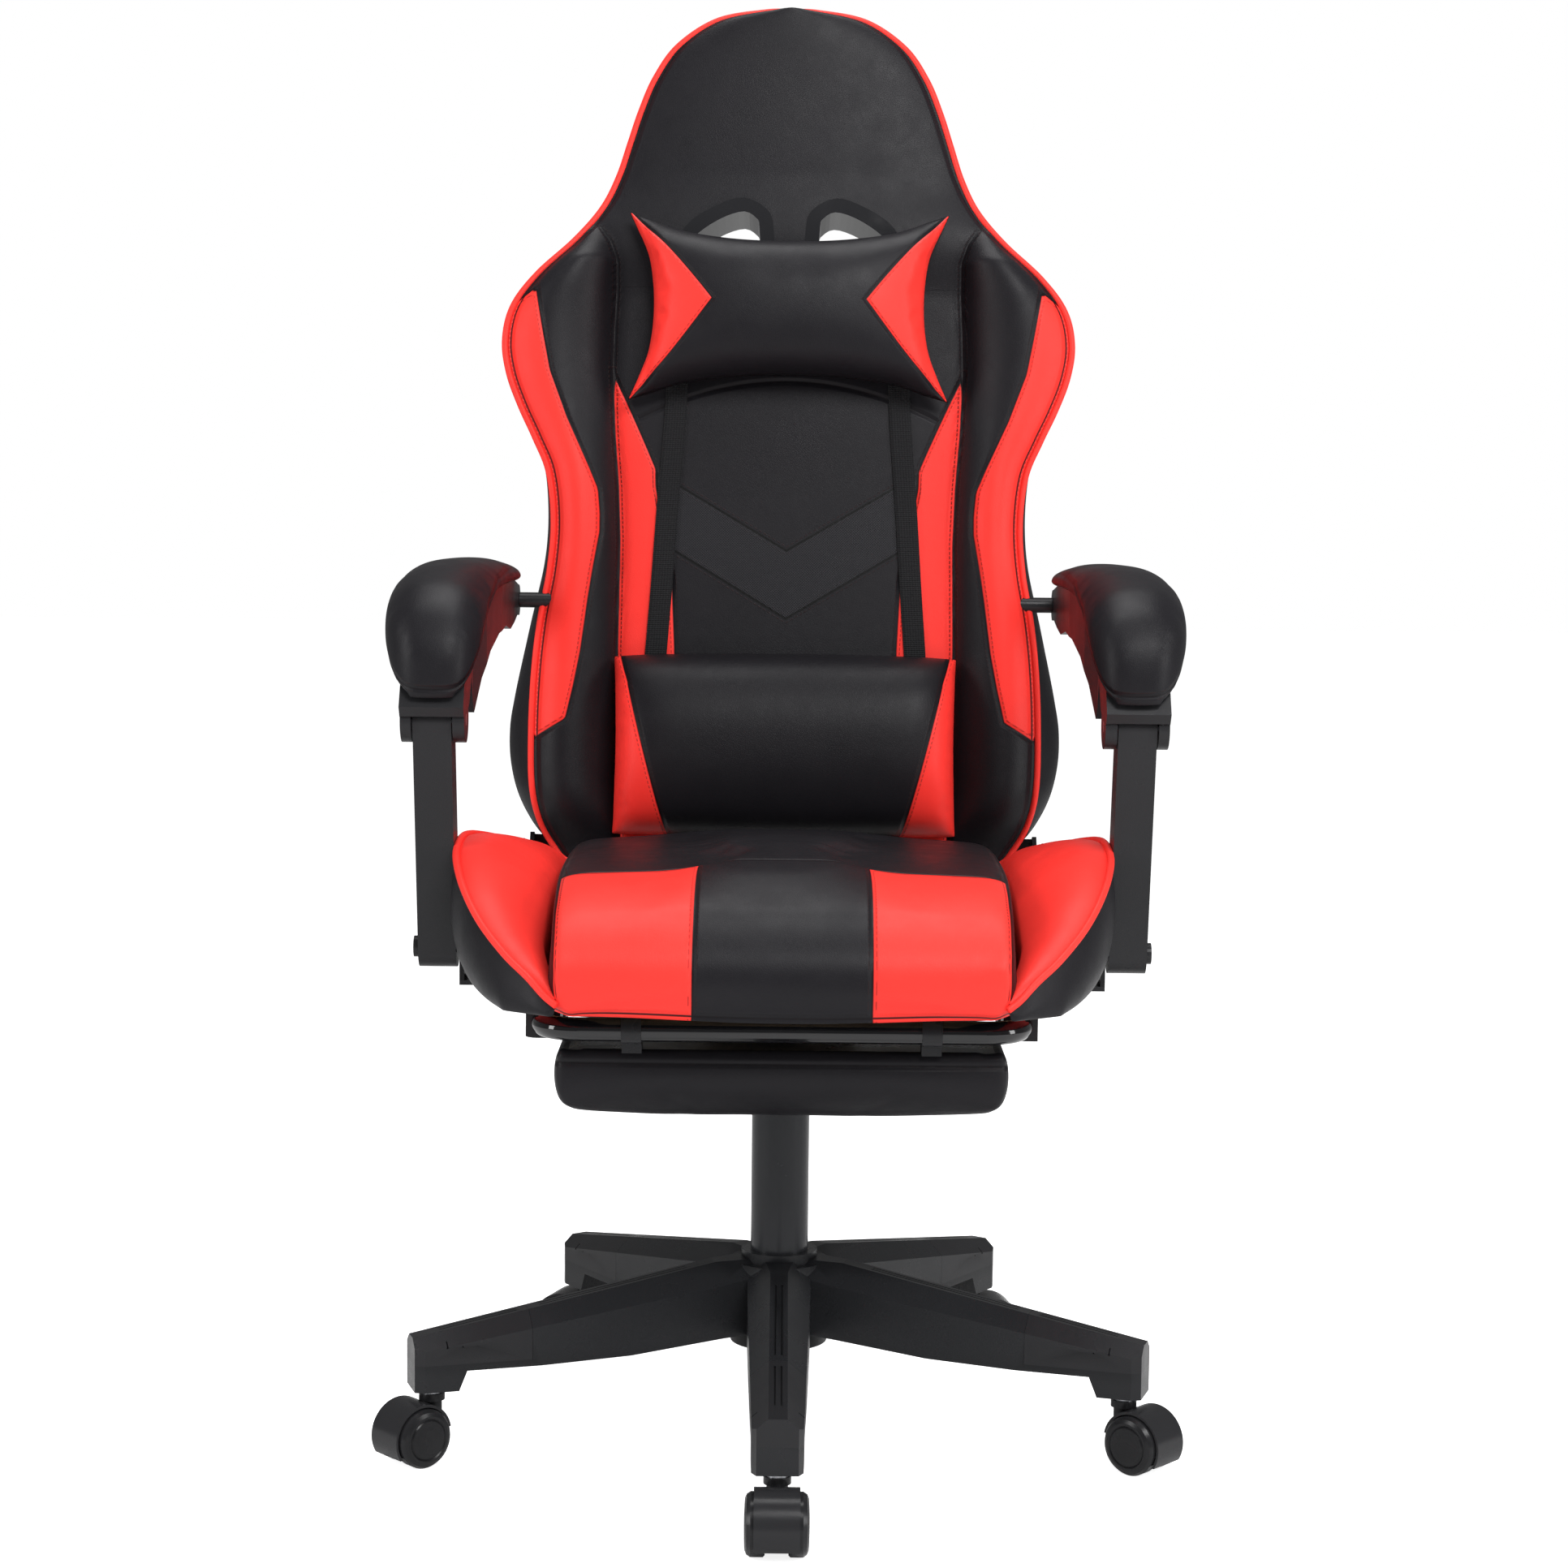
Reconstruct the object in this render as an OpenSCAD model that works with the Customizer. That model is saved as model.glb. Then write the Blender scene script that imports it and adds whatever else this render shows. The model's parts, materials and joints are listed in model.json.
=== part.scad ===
// Reclining gaming chair with a slide-out footrest, on a five-star base with twin-wheel casters.
// Millimetres. The floor is z = 0, the gas column stands on the z axis, and the chair faces -y.

/* [Overall] */
// Height of the seat cushion's top above the floor
seat_h = 511; // [500:1:540]
// Width over the two seat bolsters
seat_w = 544; // [500:1:546]
// Depth of the seat cushion, front to rear
seat_d = 418; // [380:1:450]
// Length of the backrest along its lean
back_len = 820; // [760:1:880]
// Width of the backrest over its shoulders
back_w = 526; // [490:1:560]
// Lean of the upright backrest, in degrees
back_lean = 8; // [4:1:12]

/* [Base] */
// Radius of the circle that the caster stems stand on
stem_circle_r = 308; // [280:1:340]
// Width of a leg at its tip
leg_tip_w = 41; // [36:1:48]
// Width of a leg at the hub
leg_root_w = 54; // [48:1:60]
// Number of legs
leg_count = 5; // [5]

/* [Casters] */
// Diameter of a caster wheel
wheel_d = 50; // [46:1:54]
// Width over the two wheels of a caster
caster_w = 51; // [48:1:56]
// Diameter of a caster stem
stem_d = 11; // [10:0.5:12]
// Offset of the wheel axle behind the stem
caster_trail = 21; // [18:1:24]

/* [Gas lift] */
// Outer diameter of the column
column_d = 50; // [48:1:52]
// Outer diameter of the pressure cylinder
lift_d = 28; // [27:0.5:29]

/* [Armrests] */
// Length of an arm pad
arm_pad_len = 285; // [260:1:300]
// Diameter of the armrest pivot bolts
arm_bolt_d = 10; // [8:1:11]
// Extra radius in the open pivot at the top of an arm post
linkage_play = 2.6; // [2:0.1:3]

/* [Footrest] */
// Outer diameter of the footrest tube
foot_tube_d = 19; // [17:1:20]
// Width of the footrest pad
foot_pad_w = 368; // [320:1:372]
// Thickness of the footrest pad
foot_pad_t = 52; // [40:1:54]

/* [Fits] */
// Radial clearance of every running fit
run_gap = 0.06; // [0.03:0.01:0.1]

/* [Hidden] */
$fn = 64;
cut = 1;

// Base
leg_pitch = 360 / leg_count;
first_leg = 270;
trail_dir = [270, 318, 370, 520, 582];
tip_r = stem_circle_r + 18;
tip_top = 107;
root_top = 154;
leg_floor = 62;
stem_r = stem_d / 2;
stem_top = leg_floor + 32;
hub_r = 42;
column_r = column_d / 2;
column_top = 298;
cap_start = stem_circle_r - 82;
cap_t = 2.4;
ridge_w = 15;

// Casters
wheel_r = wheel_d / 2;
wheel_gap = 9.2;
axle_r = 4;
hood_in = wheel_r + 1;
hood_out = wheel_r + 3.3;
hood_w = 36;
web_w = 17;
hood_top = wheel_r + hood_out + 4;

// Gas lift
lift_r = lift_d / 2;
lift_bottom = 150;
lift_top = 377;
rod_r = 5;
valve_r = 4;

// Tilt mechanism
plate_z = 398;
plate_t = 4;
frame_z = plate_z + plate_t;
frame_t = 4;
pan_z = frame_z + frame_t;
pan_t = 7;
cushion_z = pan_z + pan_t;
tilt_y = -30;
tilt_z = plate_z - 18;
tilt_r = 6;
housing_w = 113;
cheek_in = 58;
cheek_out = 61;
knob_y = -62;
lever_z = tilt_z;
lever_x = -44;
lever_r = 5;
lever_drop = 30;

// Seat
seat_hw = seat_w / 2;
cushion_hw = seat_hw - 82;
seat_back_y = 150;
seat_front_y = seat_back_y - seat_d;
arm_y = -55;
arm_z = frame_z + 30;
rib_x = [150, 178];

// Backrest, in its own frame: x across, y towards the rear, z up along the back, the hinge at z = hinge_up
hinge_y = 205;
hinge_up = 15;
hinge_z = frame_z + 68;
hinge_r = 8;
bs = back_len / 820;
bw = back_w / 526;
seam_x = 157 * bw;
shell_front = -12;
shell_rear = 36;
panel_front = -22;
wing_front = -54;
plate_in = 236;
plate_out = 240;

// Armrests, drawn on the -x side: the post's two ends, and the rear pin in the backrest's frame
arm_pin = [-39, 257];
arm_top_y = -95;
arm_top_z = 628;
post_in = 275;
post_out = 307;
bolt_r = arm_bolt_d / 2;
ear_in = 264;
ear_out = 317;
rear_in = 245;
rear_out = 263;

// Footrest
foot_y = -215;
foot_z = 391;
foot_r = foot_tube_d / 2;
foot_x = 193;
foot_rear = 170;
foot_pad_y = [-206, -96];
foot_board_t = 5;
foot_drop = 20;
foot_bend = 30;

// ---------- helpers ----------

// A point of the smooth closed curve through the points p, a fraction u past point i
function curve_point(p, i, u) =
    let (n = len(p), a = p[(i + n - 1) % n], b = p[i], c = p[(i + 1) % n], d = p[(i + 2) % n])
    0.5 * (2 * b + (c - a) * u + (2 * a - 5 * b + 4 * c - d) * u * u + (3 * b - a - 3 * c + d) * u * u * u);

// The smooth closed curve through the points p
function smooth(p, steps = 3) = [for (i = [0:len(p) - 1]) for (j = [0:steps - 1]) curve_point(p, i, j / steps)];

// Both halves of a symmetric outline from the points of its +x half, bottom to top
function both(p) = concat(p, [for (i = [len(p) - 1:-1:0]) [-p[i][0], p[i][1]]]);

// Backrest sizes: widths follow back_w and heights follow back_len
function on_back(p) = [for (q = p) [q[0] * bw, q[1] * bs]];

// A side profile (y, z) drawn across x from x0 to x1
module across(x0, x1) {
    translate([x0, 0, 0])
        rotate([90, 0, 90])
            linear_extrude(x1 - x0)
                children();
}

// A front profile (x, z) drawn from y0 to y1
module through(y0, y1) {
    translate([0, y1, 0])
        rotate([90, 0, 0])
            linear_extrude(y1 - y0)
                children();
}

// A plan profile (x, y) drawn from z0 to z1
module upright(z0, z1) {
    translate([0, 0, z0])
        linear_extrude(z1 - z0)
            children();
}

// A bar along x between x0 and x1 at (y, z)
module bar_x(x0, x1, y, z, r) {
    translate([x0, y, z])
        rotate([0, 90, 0])
            cylinder(h = x1 - x0, r = r);
}

// A bar along y between y0 and y1 at (x, z)
module bar_y(y0, y1, x, z, r) {
    translate([x, y0, z])
        rotate([-90, 0, 0])
            cylinder(h = y1 - y0, r = r);
}

// A box from its low corner to its high corner
module block(low, high) {
    translate(low)
        cube(high - low);
}

module ring(r_in, r_out, z0, z1) {
    difference() {
        translate([0, 0, z0])
            cylinder(h = z1 - z0, r = r_out);
        translate([0, 0, z0 - cut])
            cylinder(h = z1 - z0 + 2 * cut, r = r_in);
    }
}

// The -x side as drawn, the +x side mirrored
module side(s) {
    mirror([s > 0 ? 1 : 0, 0, 0])
        children();
}

// From the backrest's own frame to its place on the chair
module at_back() {
    translate([0, hinge_y, hinge_z])
        rotate([-back_lean, 0, 0])
            translate([0, 0, -hinge_up])
                children();
}

// ---------- base ----------

module each_leg() {
    for (k = [0:leg_count - 1])
        rotate([0, 0, first_leg + k * leg_pitch])
            children();
}

// One leg along +x, its top and sides pulled in by inset
module leg_form(inset) {
    slope = atan((root_top - tip_top) / (tip_r - 60));
    difference() {
        intersection() {
            rotate([90, 0, 0])
                translate([0, 0, -50])
                    linear_extrude(100)
                        polygon([
                            [20, root_top + 2 - inset], [60, root_top - inset], [tip_r - inset, tip_top - inset],
                            [tip_r - inset, leg_floor], [stem_circle_r - 19, leg_floor],
                            [stem_circle_r - 26, 79], [stem_circle_r - 90, 79], [140, 82], [60, 91], [20, 94]
                        ]);
            upright(40, 200)
                polygon([
                    [0, leg_root_w / 2 - inset], [60, leg_root_w / 2 - inset],
                    [tip_r - 8, leg_tip_w / 2 - inset], [tip_r - inset, leg_tip_w / 2 - 4 - inset],
                    [tip_r - inset, 4 + inset - leg_tip_w / 2], [tip_r - 8, inset - leg_tip_w / 2],
                    [60, inset - leg_root_w / 2], [0, inset - leg_root_w / 2]
                ]);
        }
        for (s = [0, 1])
            mirror([0, s, 0])
                translate([60, 0, root_top - inset])
                    rotate([0, slope, 0])
                        translate([-60, 0, 0])
                            rotate([90, 0, 90])
                                linear_extrude(400)
                                    polygon([[ridge_w / 2, 0], [50, 0.84 * (ridge_w / 2 - 50)], [50, 30], [ridge_w / 2, 30]]);
    }
}

// The two thin grooves along a leg's ridge
module ridge_grooves(r0, r1) {
    slope = atan((root_top - tip_top) / (tip_r - 60));
    for (y = [-2.6, 2.6])
        translate([60, y, root_top])
            rotate([0, slope, 0])
                translate([r0 - 60, -0.6, -1])
                    cube([r1 - r0, 1.2, 3]);
}

module cap_zone(gap) {
    block([cap_start + gap, -40, 85], [tip_r + 10, 40, 200]);
}

module base_star() {
    color("#26272a")
        difference() {
            union() {
                translate([0, 0, 80])
                    cylinder(h = root_top - 82, r = hub_r);
                translate([0, 0, root_top - 4])
                    cylinder(h = 11, r = hub_r - 9);
                each_leg() {
                    difference() {
                        leg_form(0);
                        cap_zone(0);
                        ridge_grooves(85, cap_start - 8);
                    }
                    intersection() {
                        leg_form(cap_t);
                        cap_zone(0);
                    }
                }
            }
            translate([0, 0, 60])
                cylinder(h = 120, r = column_r);
            each_leg() {
                translate([stem_circle_r, 0, leg_floor - cut])
                    cylinder(h = stem_top - leg_floor + 1 + cut, r = stem_r + run_gap);
                // Moulded pockets under the leg, between cross ribs
                for (p = [[50, 96], [100, 146], [150, 196], [200, 246]])
                    intersection() {
                        rotate([90, 0, 0])
                            translate([0, 0, -50])
                                linear_extrude(100)
                                    polygon([[p[0], 60], [p[0], 140 - 0.16 * p[0]], [p[1], 140 - 0.16 * p[1]], [p[1], 60]]);
                        upright(40, 200)
                            polygon([
                                [40, leg_root_w / 2 - 5], [tip_r, leg_tip_w / 2 - 6],
                                [tip_r, 6 - leg_tip_w / 2], [40, 5 - leg_root_w / 2]
                            ]);
                    }
            }
        }
}

module leg_covers() {
    color("#1f2023")
        each_leg()
            difference() {
                intersection() {
                    leg_form(0);
                    cap_zone(0.2);
                }
                leg_form(cap_t);
                ridge_grooves(cap_start + 12, tip_r - 20);
                for (s = [-1, 1])
                    for (i = [0:4])
                        translate([cap_start + 24 + 13 * i, s * 15.5, 98])
                            rotate([s * 50, 0, 0])
                                rotate([0, 0, 35 * s])
                                    cube([1.6, 13, 7], center = true);
            }
}

module gas_cylinder() {
    color("#232427")
        difference() {
            translate([0, 0, 72])
                cylinder(h = column_top - 72, r = column_r);
            translate([0, 0, 76])
                cylinder(h = 142, r = column_r - 2);
            translate([0, 0, 70])
                cylinder(h = 10, r = rod_r + run_gap);
            translate([0, 0, 210])
                cylinder(h = 100, r = lift_r + run_gap);
        }
}

// ---------- casters ----------

module at_caster(k) {
    rotate([0, 0, first_leg + (k - 1) * leg_pitch])
        translate([stem_circle_r, 0, 0])
            rotate([0, 0, trail_dir[k - 1] - first_leg - (k - 1) * leg_pitch])
                children();
}

// The side profile that is left of a hood: open towards the floor and the stem side
module hood_sector() {
    polygon([[caster_trail, wheel_r], [-40, wheel_r + 12], [-40, 80], [90, 80], [90, 10], [caster_trail + 14, 10]]);
}

module caster_hood(k) {
    color("#1c1d1f")
        at_caster(k)
            difference() {
                union() {
                    intersection() {
                        difference() {
                            bar_y(-hood_w / 2, hood_w / 2, caster_trail, wheel_r, hood_out);
                            for (s = [0, 1])
                                mirror([0, s, 0])
                                    bar_y(web_w / 2, 40, caster_trail, wheel_r, hood_in);
                        }
                        through(-40, 40)
                            hood_sector();
                    }
                    bar_y(-web_w / 2, web_w / 2, caster_trail, wheel_r, 12);
                    translate([0, 0, wheel_r + 9])
                        cylinder(h = 18, r = web_w / 2);
                    translate([0, 0, wheel_r * 2 + 1.2])
                        cylinder(h = hood_top - wheel_r * 2 - 1.2, r = 11);
                }
                bar_y(-40, 40, caster_trail, wheel_r, axle_r + run_gap);
                translate([0, 0, wheel_r + 12])
                    cylinder(h = 40, r = stem_r);
            }
}

module caster_stem(k) {
    color("#b8babd")
        at_caster(k) {
            translate([0, 0, wheel_r + 12])
                cylinder(h = stem_top - wheel_r - 12, r = stem_r);
            translate([0, 0, hood_top])
                cylinder(h = leg_floor - 0.3 - hood_top, r = 9);
        }
}

module caster_wheels(k) {
    half = caster_w / 2;
    color("#17181a")
        at_caster(k)
            translate([caster_trail, 0, wheel_r]) {
                rotate([90, 0, 0])
                    cylinder(h = 2 * half - 6, r = axle_r, center = true);
                for (s = [-1, 1])
                    rotate([90 * s, 0, 0])
                        rotate_extrude()
                            polygon([
                                [0, wheel_gap], [wheel_r - 1.5, wheel_gap], [wheel_r, wheel_gap + 1.5],
                                [wheel_r, half - 5], [wheel_r - 2, half - 2], [wheel_r - 5, half - 0.6],
                                [wheel_r - 7, half - 0.4], [wheel_r - 8, half - 1.2], [wheel_r - 9, half - 0.3],
                                [8, half], [0, half]
                            ]);
            }
}

// ---------- gas lift ----------

module piston_rod() {
    color("#c9cbce") {
        translate([0, 0, 68])
            cylinder(h = 232, r = rod_r);
        translate([0, 0, 292])
            cylinder(h = 12, r = lift_r - 2 - run_gap);
        translate([0, 0, 67])
            cylinder(h = 4.5, r = 8);
    }
}

module thrust_bearing() {
    color("#d0d2d4")
        ring(rod_r, 13, 76.05, 84);
}

module pressure_cylinder() {
    color("#1b1c1e")
        difference() {
            translate([0, 0, lift_bottom])
                cylinder(h = lift_top - lift_bottom, r = lift_r);
            translate([0, 0, lift_bottom + 8])
                cylinder(h = lift_top - lift_bottom - 20, r = lift_r - 2);
            translate([0, 0, lift_bottom - cut])
                cylinder(h = 20, r = rod_r + run_gap);
            translate([0, 0, lift_top - 20])
                cylinder(h = 30, r = valve_r + run_gap);
        }
}

module valve_button() {
    color("#c23a2e")
        translate([0, 0, lift_top - 11])
            cylinder(h = 19, r = valve_r);
}

// ---------- tilt mechanism ----------

module tilt_housing() {
    color("#2a2b2e")
        difference() {
            union() {
                difference() {
                    across(-housing_w / 2, housing_w / 2)
                        polygon([[-88, 350], [-88, 382], [-52, 393], [-38, 393], [78, 367], [78, 357], [40, 350]]);
                    across(3 - housing_w / 2, housing_w / 2 - 3)
                        polygon([[-85, 354], [-85, 420], [75, 420], [75, 360], [38, 354]]);
                }
                translate([0, 0, 350])
                    cylinder(h = 22, r = lift_r + 6);
                for (s = [-1, 1])
                    translate([lever_x, s * 15, 0])
                        block([-7, -2.5, 352], [7, 2.5, lever_z + 7]);
                for (s = [-1, 1])
                    translate([s * 50, tilt_y, 0])
                        block([-5, -10, 352], [5, 10, tilt_z + 10]);
            }
            translate([0, 0, 340])
                cylinder(h = 40, r = lift_r);
            bar_x(-80, 80, tilt_y, tilt_z, tilt_r + run_gap);
            bar_y(-25, 25, lever_x, lever_z, 4 + run_gap);
            block([-60, -10, lever_z - 12], [-45, 10, 420]);
            translate([0, knob_y, 340])
                cylinder(h = 20, r = 5 + run_gap);
        }
}

module tilt_spring() {
    color("#8d9094")
        translate([0, knob_y, 354])
            rotate_extrude()
                union() {
                    translate([11, 0])
                        square([3, 35]);
                    for (i = [0:4])
                        translate([14, 3.5 + 7 * i])
                            circle(r = 3.4);
                }
}

module tension_knob() {
    color("#17181a")
        translate([0, knob_y, 0])
            difference() {
                union() {
                    translate([0, 0, 322])
                        cylinder(h = 24, r = 19);
                    translate([0, 0, 346])
                        cylinder(h = 38, r = 5);
                }
                for (a = [0:30:330])
                    rotate([0, 0, a])
                        translate([20.5, 0, 320])
                            cylinder(h = 30, r = 3.2);
            }
}

module lever_cam() {
    color("#3a3c40")
        difference() {
            union() {
                bar_x(-72, -28, 0, lever_z, 6.5);
                bar_y(-18, 18, lever_x, lever_z, 4);
                block([-34, -6, lever_z + 5.9], [5, 6, lever_z + 11]);
                block([-36, -6, lever_z - 4], [-28, 6, lever_z + 11]);
            }
            bar_x(-80, -29.5, 0, lever_z, lever_r - 1 + run_gap);
        }
}

module height_lever() {
    low = lever_z - lever_drop;
    color("#1c1d1f") {
        bar_x(-92, -30, 0, lever_z, lever_r - 1);
        translate([-92, 0, low])
            cylinder(h = lever_drop, r = lever_r - 1);
        for (z = [low, lever_z])
            translate([-92, 0, z])
                sphere(r = lever_r - 1);
        bar_x(-170, -92, 0, low, lever_r - 1);
        difference() {
            upright(low - 4, low + 4)
                union() {
                    translate([-211, -11])
                        square([52, 22]);
                    translate([-211, 0])
                        circle(r = 11);
                }
            translate([-200, 0, low + 9])
                sphere(r = 8);
        }
    }
}

// ---------- seat ----------

module mech_plate() {
    color("#2a2b2e")
        difference() {
            union() {
                upright(plate_z, frame_z)
                    polygon([
                        [-168, -95], [-140, -95], [-95, -62], [95, -62], [140, -95], [168, -95],
                        [168, 95], [140, 95], [95, 72], [-95, 72], [-140, 95], [-168, 95]
                    ]);
                for (s = [0, 1])
                    mirror([s, 0, 0])
                        across(cheek_in, cheek_out)
                            polygon([[-54, plate_z], [-44, 368], [-16, 368], [-10, plate_z]]);
            }
            bar_x(-80, 80, tilt_y, tilt_z, tilt_r);
            block([-78, -12, plate_z - cut], [46, 48, frame_z + cut]);
            for (x = [-158, 158])
                for (y = [-78, 78])
                    translate([x, y, plate_z - cut])
                        cylinder(h = 10, r = 4);
        }
}

module tilt_axle() {
    color("#b8babd")
        bar_x(-66, 66, tilt_y, tilt_z, tilt_r);
}

module mech_bolts() {
    color("#85888c")
        for (x = [-158, 158])
            for (y = [-78, 78])
                translate([x, y, 0]) {
                    translate([0, 0, plate_z - 4])
                        cylinder(h = 4, r = 6.5);
                    translate([0, 0, plate_z - 1])
                        cylinder(h = 16, r = 4);
                }
}

module seat_frame() {
    front_y = seat_front_y + 78;
    color("#1e1f21")
        difference() {
            union() {
                block([rib_x[0], front_y, frame_z], [rib_x[1], 195, pan_z]);
                block([-rib_x[1], front_y, frame_z], [-rib_x[0], 195, pan_z]);
                block([-rib_x[1], front_y, frame_z], [rib_x[1], front_y + 28, pan_z]);
                block([-272, arm_y - 18, frame_z], [272, arm_y + 18, pan_z]);
                block([-plate_out, 158, frame_z], [plate_out, 195, pan_z]);
            }
            for (x = [-158, 158])
                for (y = [-78, 78])
                    translate([x, y, frame_z - cut])
                        cylinder(h = 10, r = 4);
        }
}

module arm_brackets() {
    color("#1e1f21")
        for (s = [-1, 1])
            side(s) {
                difference() {
                    across(-272, -268)
                        union() {
                            translate([arm_y - 18, pan_z])
                                square([36, arm_z - pan_z]);
                            translate([arm_y, arm_z])
                                circle(r = 18);
                        }
                    bar_x(-280, -260, arm_y, arm_z, bolt_r);
                }
                bar_x(-post_out - 1, -266, arm_y, arm_z, bolt_r);
                bar_x(-post_out - 5, -post_out - 0.4, arm_y, arm_z, bolt_r + 4);
            }
}

module seat_pan() {
    color("#7a5f43")
        difference() {
            upright(pan_z, cushion_z)
                polygon(both([[140, -seat_d * 0.55], [203, -seat_d * 0.42], [218, -seat_d * 0.34], [218, 130], [205, 142]]));
            for (x = [-158, 158])
                for (y = [-78, 78])
                    translate([x, y, pan_z - cut])
                        cylinder(h = 20, r = 4);
        }
}

// Side profile of the seat's soft parts, front to rear; rise lifts the whole top
module seat_profile(rise) {
    top = seat_h + rise;
    f = seat_front_y;
    polygon([
        [seat_back_y, cushion_z], [seat_back_y, top - 14], [seat_back_y - 30, top - 7], [40, top - 2], [-40, top],
        [f + 118, top], [f + 80, top - 5], [f + 48, top - 15], [f + 22, top - 34], [f + 6, top - 58],
        [f, top - 80], [f + 4, pan_z + 2], [f + 12, pan_z - 1],
        [-seat_d * 0.55 - 3, pan_z - 1], [-seat_d * 0.55 - 3, cushion_z]
    ]);
}

module seat_cushion() {
    color("#1f1f22")
        across(-cushion_hw, cushion_hw)
            seat_profile(0);
}

// The +x bolster; its outer side and its ridge come from the section and the plan
module bolster() {
    hw = seat_hw;
    f = seat_front_y;
    color("#d8352f")
        difference() {
            intersection() {
                through(-400, 300)
                    polygon([
                        [cushion_hw + 0.3, pan_z + 0.5], [hw - 30, pan_z + 0.5], [hw - 14, pan_z + 22], [hw - 3, pan_z + 66],
                        [hw, seat_h - 14], [hw - 3, seat_h + 8], [hw - 12, seat_h + 18], [hw - 30, seat_h + 12],
                        [hw - 60, seat_h - 8], [cushion_hw + 0.3, seat_h - 26]
                    ]);
                upright(380, 600)
                    polygon([
                        [cushion_hw - 5, f + 6], [hw - 84, f + 8], [hw - 56, f + 30], [hw - 28, f + 66], [hw - 8, f + 112],
                        [hw, f + 160], [hw - 1, f + 200], [hw - 5, arm_y + 40], [hw - 12, 80], [hw - 24, 135],
                        [cushion_hw - 5, 135]
                    ]);
                across(100, 300)
                    polygon([
                        [140, pan_z], [140, seat_h - 4], [70, seat_h + 12], [-60, seat_h + 20], [f + 150, seat_h + 8],
                        [f + 90, seat_h - 34], [f + 40, seat_h - 76], [f + 6, seat_h - 92], [f + 4, pan_z]
                    ]);
            }
            block([0, -seat_d * 0.55 - 1, pan_z - 5], [219, 143, cushion_z + 0.2]);
            block([0, arm_y - 19, pan_z - 5], [300, arm_y + 19, pan_z + 0.8]);
            block([hw - 7, arm_y - 20, pan_z - 5], [300, arm_y + 20, arm_z + 20]);
        }
}

module seat_bolster_left() {
    bolster();
}

module seat_bolster_right() {
    side(1)
        bolster();
}

// ---------- recline hinge ----------

module recline_plates() {
    color("#2a2b2e")
        for (s = [-1, 1])
            side(s)
                difference() {
                    union() {
                        across(-plate_out, -plate_in)
                            union() {
                                translate([hinge_y, hinge_z])
                                    circle(r = 20);
                                polygon([
                                    [158, pan_z], [195, pan_z], [hinge_y + 18, hinge_z - 12],
                                    [hinge_y + 18, hinge_z], [hinge_y - 19, hinge_z], [hinge_y - 36, hinge_z - 30]
                                ]);
                            }
                        block([-plate_out, 160, pan_z], [-rib_x[0] - 4, 193, pan_z + 4]);
                    }
                    bar_x(-260, -230, hinge_y, hinge_z, hinge_r + run_gap);
                }
}

module hinge_covers() {
    color("#17181a")
        for (s = [-1, 1])
            side(s)
                difference() {
                    across(-plate_out - 20, -plate_out)
                        union() {
                            translate([hinge_y, hinge_z])
                                circle(r = 24);
                            polygon([
                                [152, pan_z + 8], [192, pan_z + 2], [hinge_y + 22, hinge_z - 14],
                                [hinge_y + 22, hinge_z], [hinge_y - 23, hinge_z - 5], [hinge_y - 42, hinge_z - 32]
                            ]);
                        }
                    bar_x(-plate_out - 14, -plate_out + cut, hinge_y, hinge_z, 15);
                    if (s < 0)
                        bar_x(-plate_out - 30, -plate_out, hinge_y, hinge_z, 6 + run_gap);
                }
}

module recline_lever() {
    x1 = -plate_out - 20.5;
    color("#17181a")
        difference() {
            union() {
                bar_x(-plate_out - 30, -plate_out - 15, hinge_y, hinge_z, 6);
                across(x1 - 9, x1)
                    union() {
                        translate([hinge_y, hinge_z])
                            circle(r = 14);
                        polygon([
                            [hinge_y + 2, hinge_z + 13.8], [hinge_y - 60, hinge_z + 4], [hinge_y - 108, hinge_z - 4],
                            [hinge_y - 108, hinge_z - 19], [hinge_y - 58, hinge_z - 13], [hinge_y + 2, hinge_z - 13.8]
                        ]);
                        translate([hinge_y - 108, hinge_z - 11.5])
                            circle(r = 7.5);
                    }
            }
            translate([x1 - 12, hinge_y - 95, hinge_z - 10])
                sphere(r = 7);
        }
}

// ---------- footrest ----------

module footrest_guides() {
    color("#1b1c1e")
        for (s = [-1, 1])
            side(s)
                for (y = [foot_y + foot_bend + 16, foot_y + foot_bend + 80])
                    difference() {
                        block([-207, y - 15, foot_z - 12], [-rib_x[1] - 1, y + 15, pan_z]);
                        bar_y(y - 20, y + 20, -foot_x, foot_z, foot_r + run_gap);
                    }
}

module quarter_bend(x, y, turn) {
    translate([x, y, foot_z])
        rotate([0, 0, turn])
            rotate_extrude(angle = 90)
                translate([foot_bend, 0])
                    circle(r = foot_r);
}

module footrest_frame() {
    color("#0e0e10") {
        bar_x(foot_bend - foot_x, foot_x - foot_bend, foot_y, foot_z, foot_r);
        quarter_bend(foot_x - foot_bend, foot_y + foot_bend, 270);
        quarter_bend(foot_bend - foot_x, foot_y + foot_bend, 180);
        for (x = [-foot_x, foot_x]) {
            bar_y(foot_y + foot_bend, foot_rear, x, foot_z, foot_r);
            bar_y(foot_rear, foot_rear + 3, x, foot_z, foot_r - 1);
        }
    }
}

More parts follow.
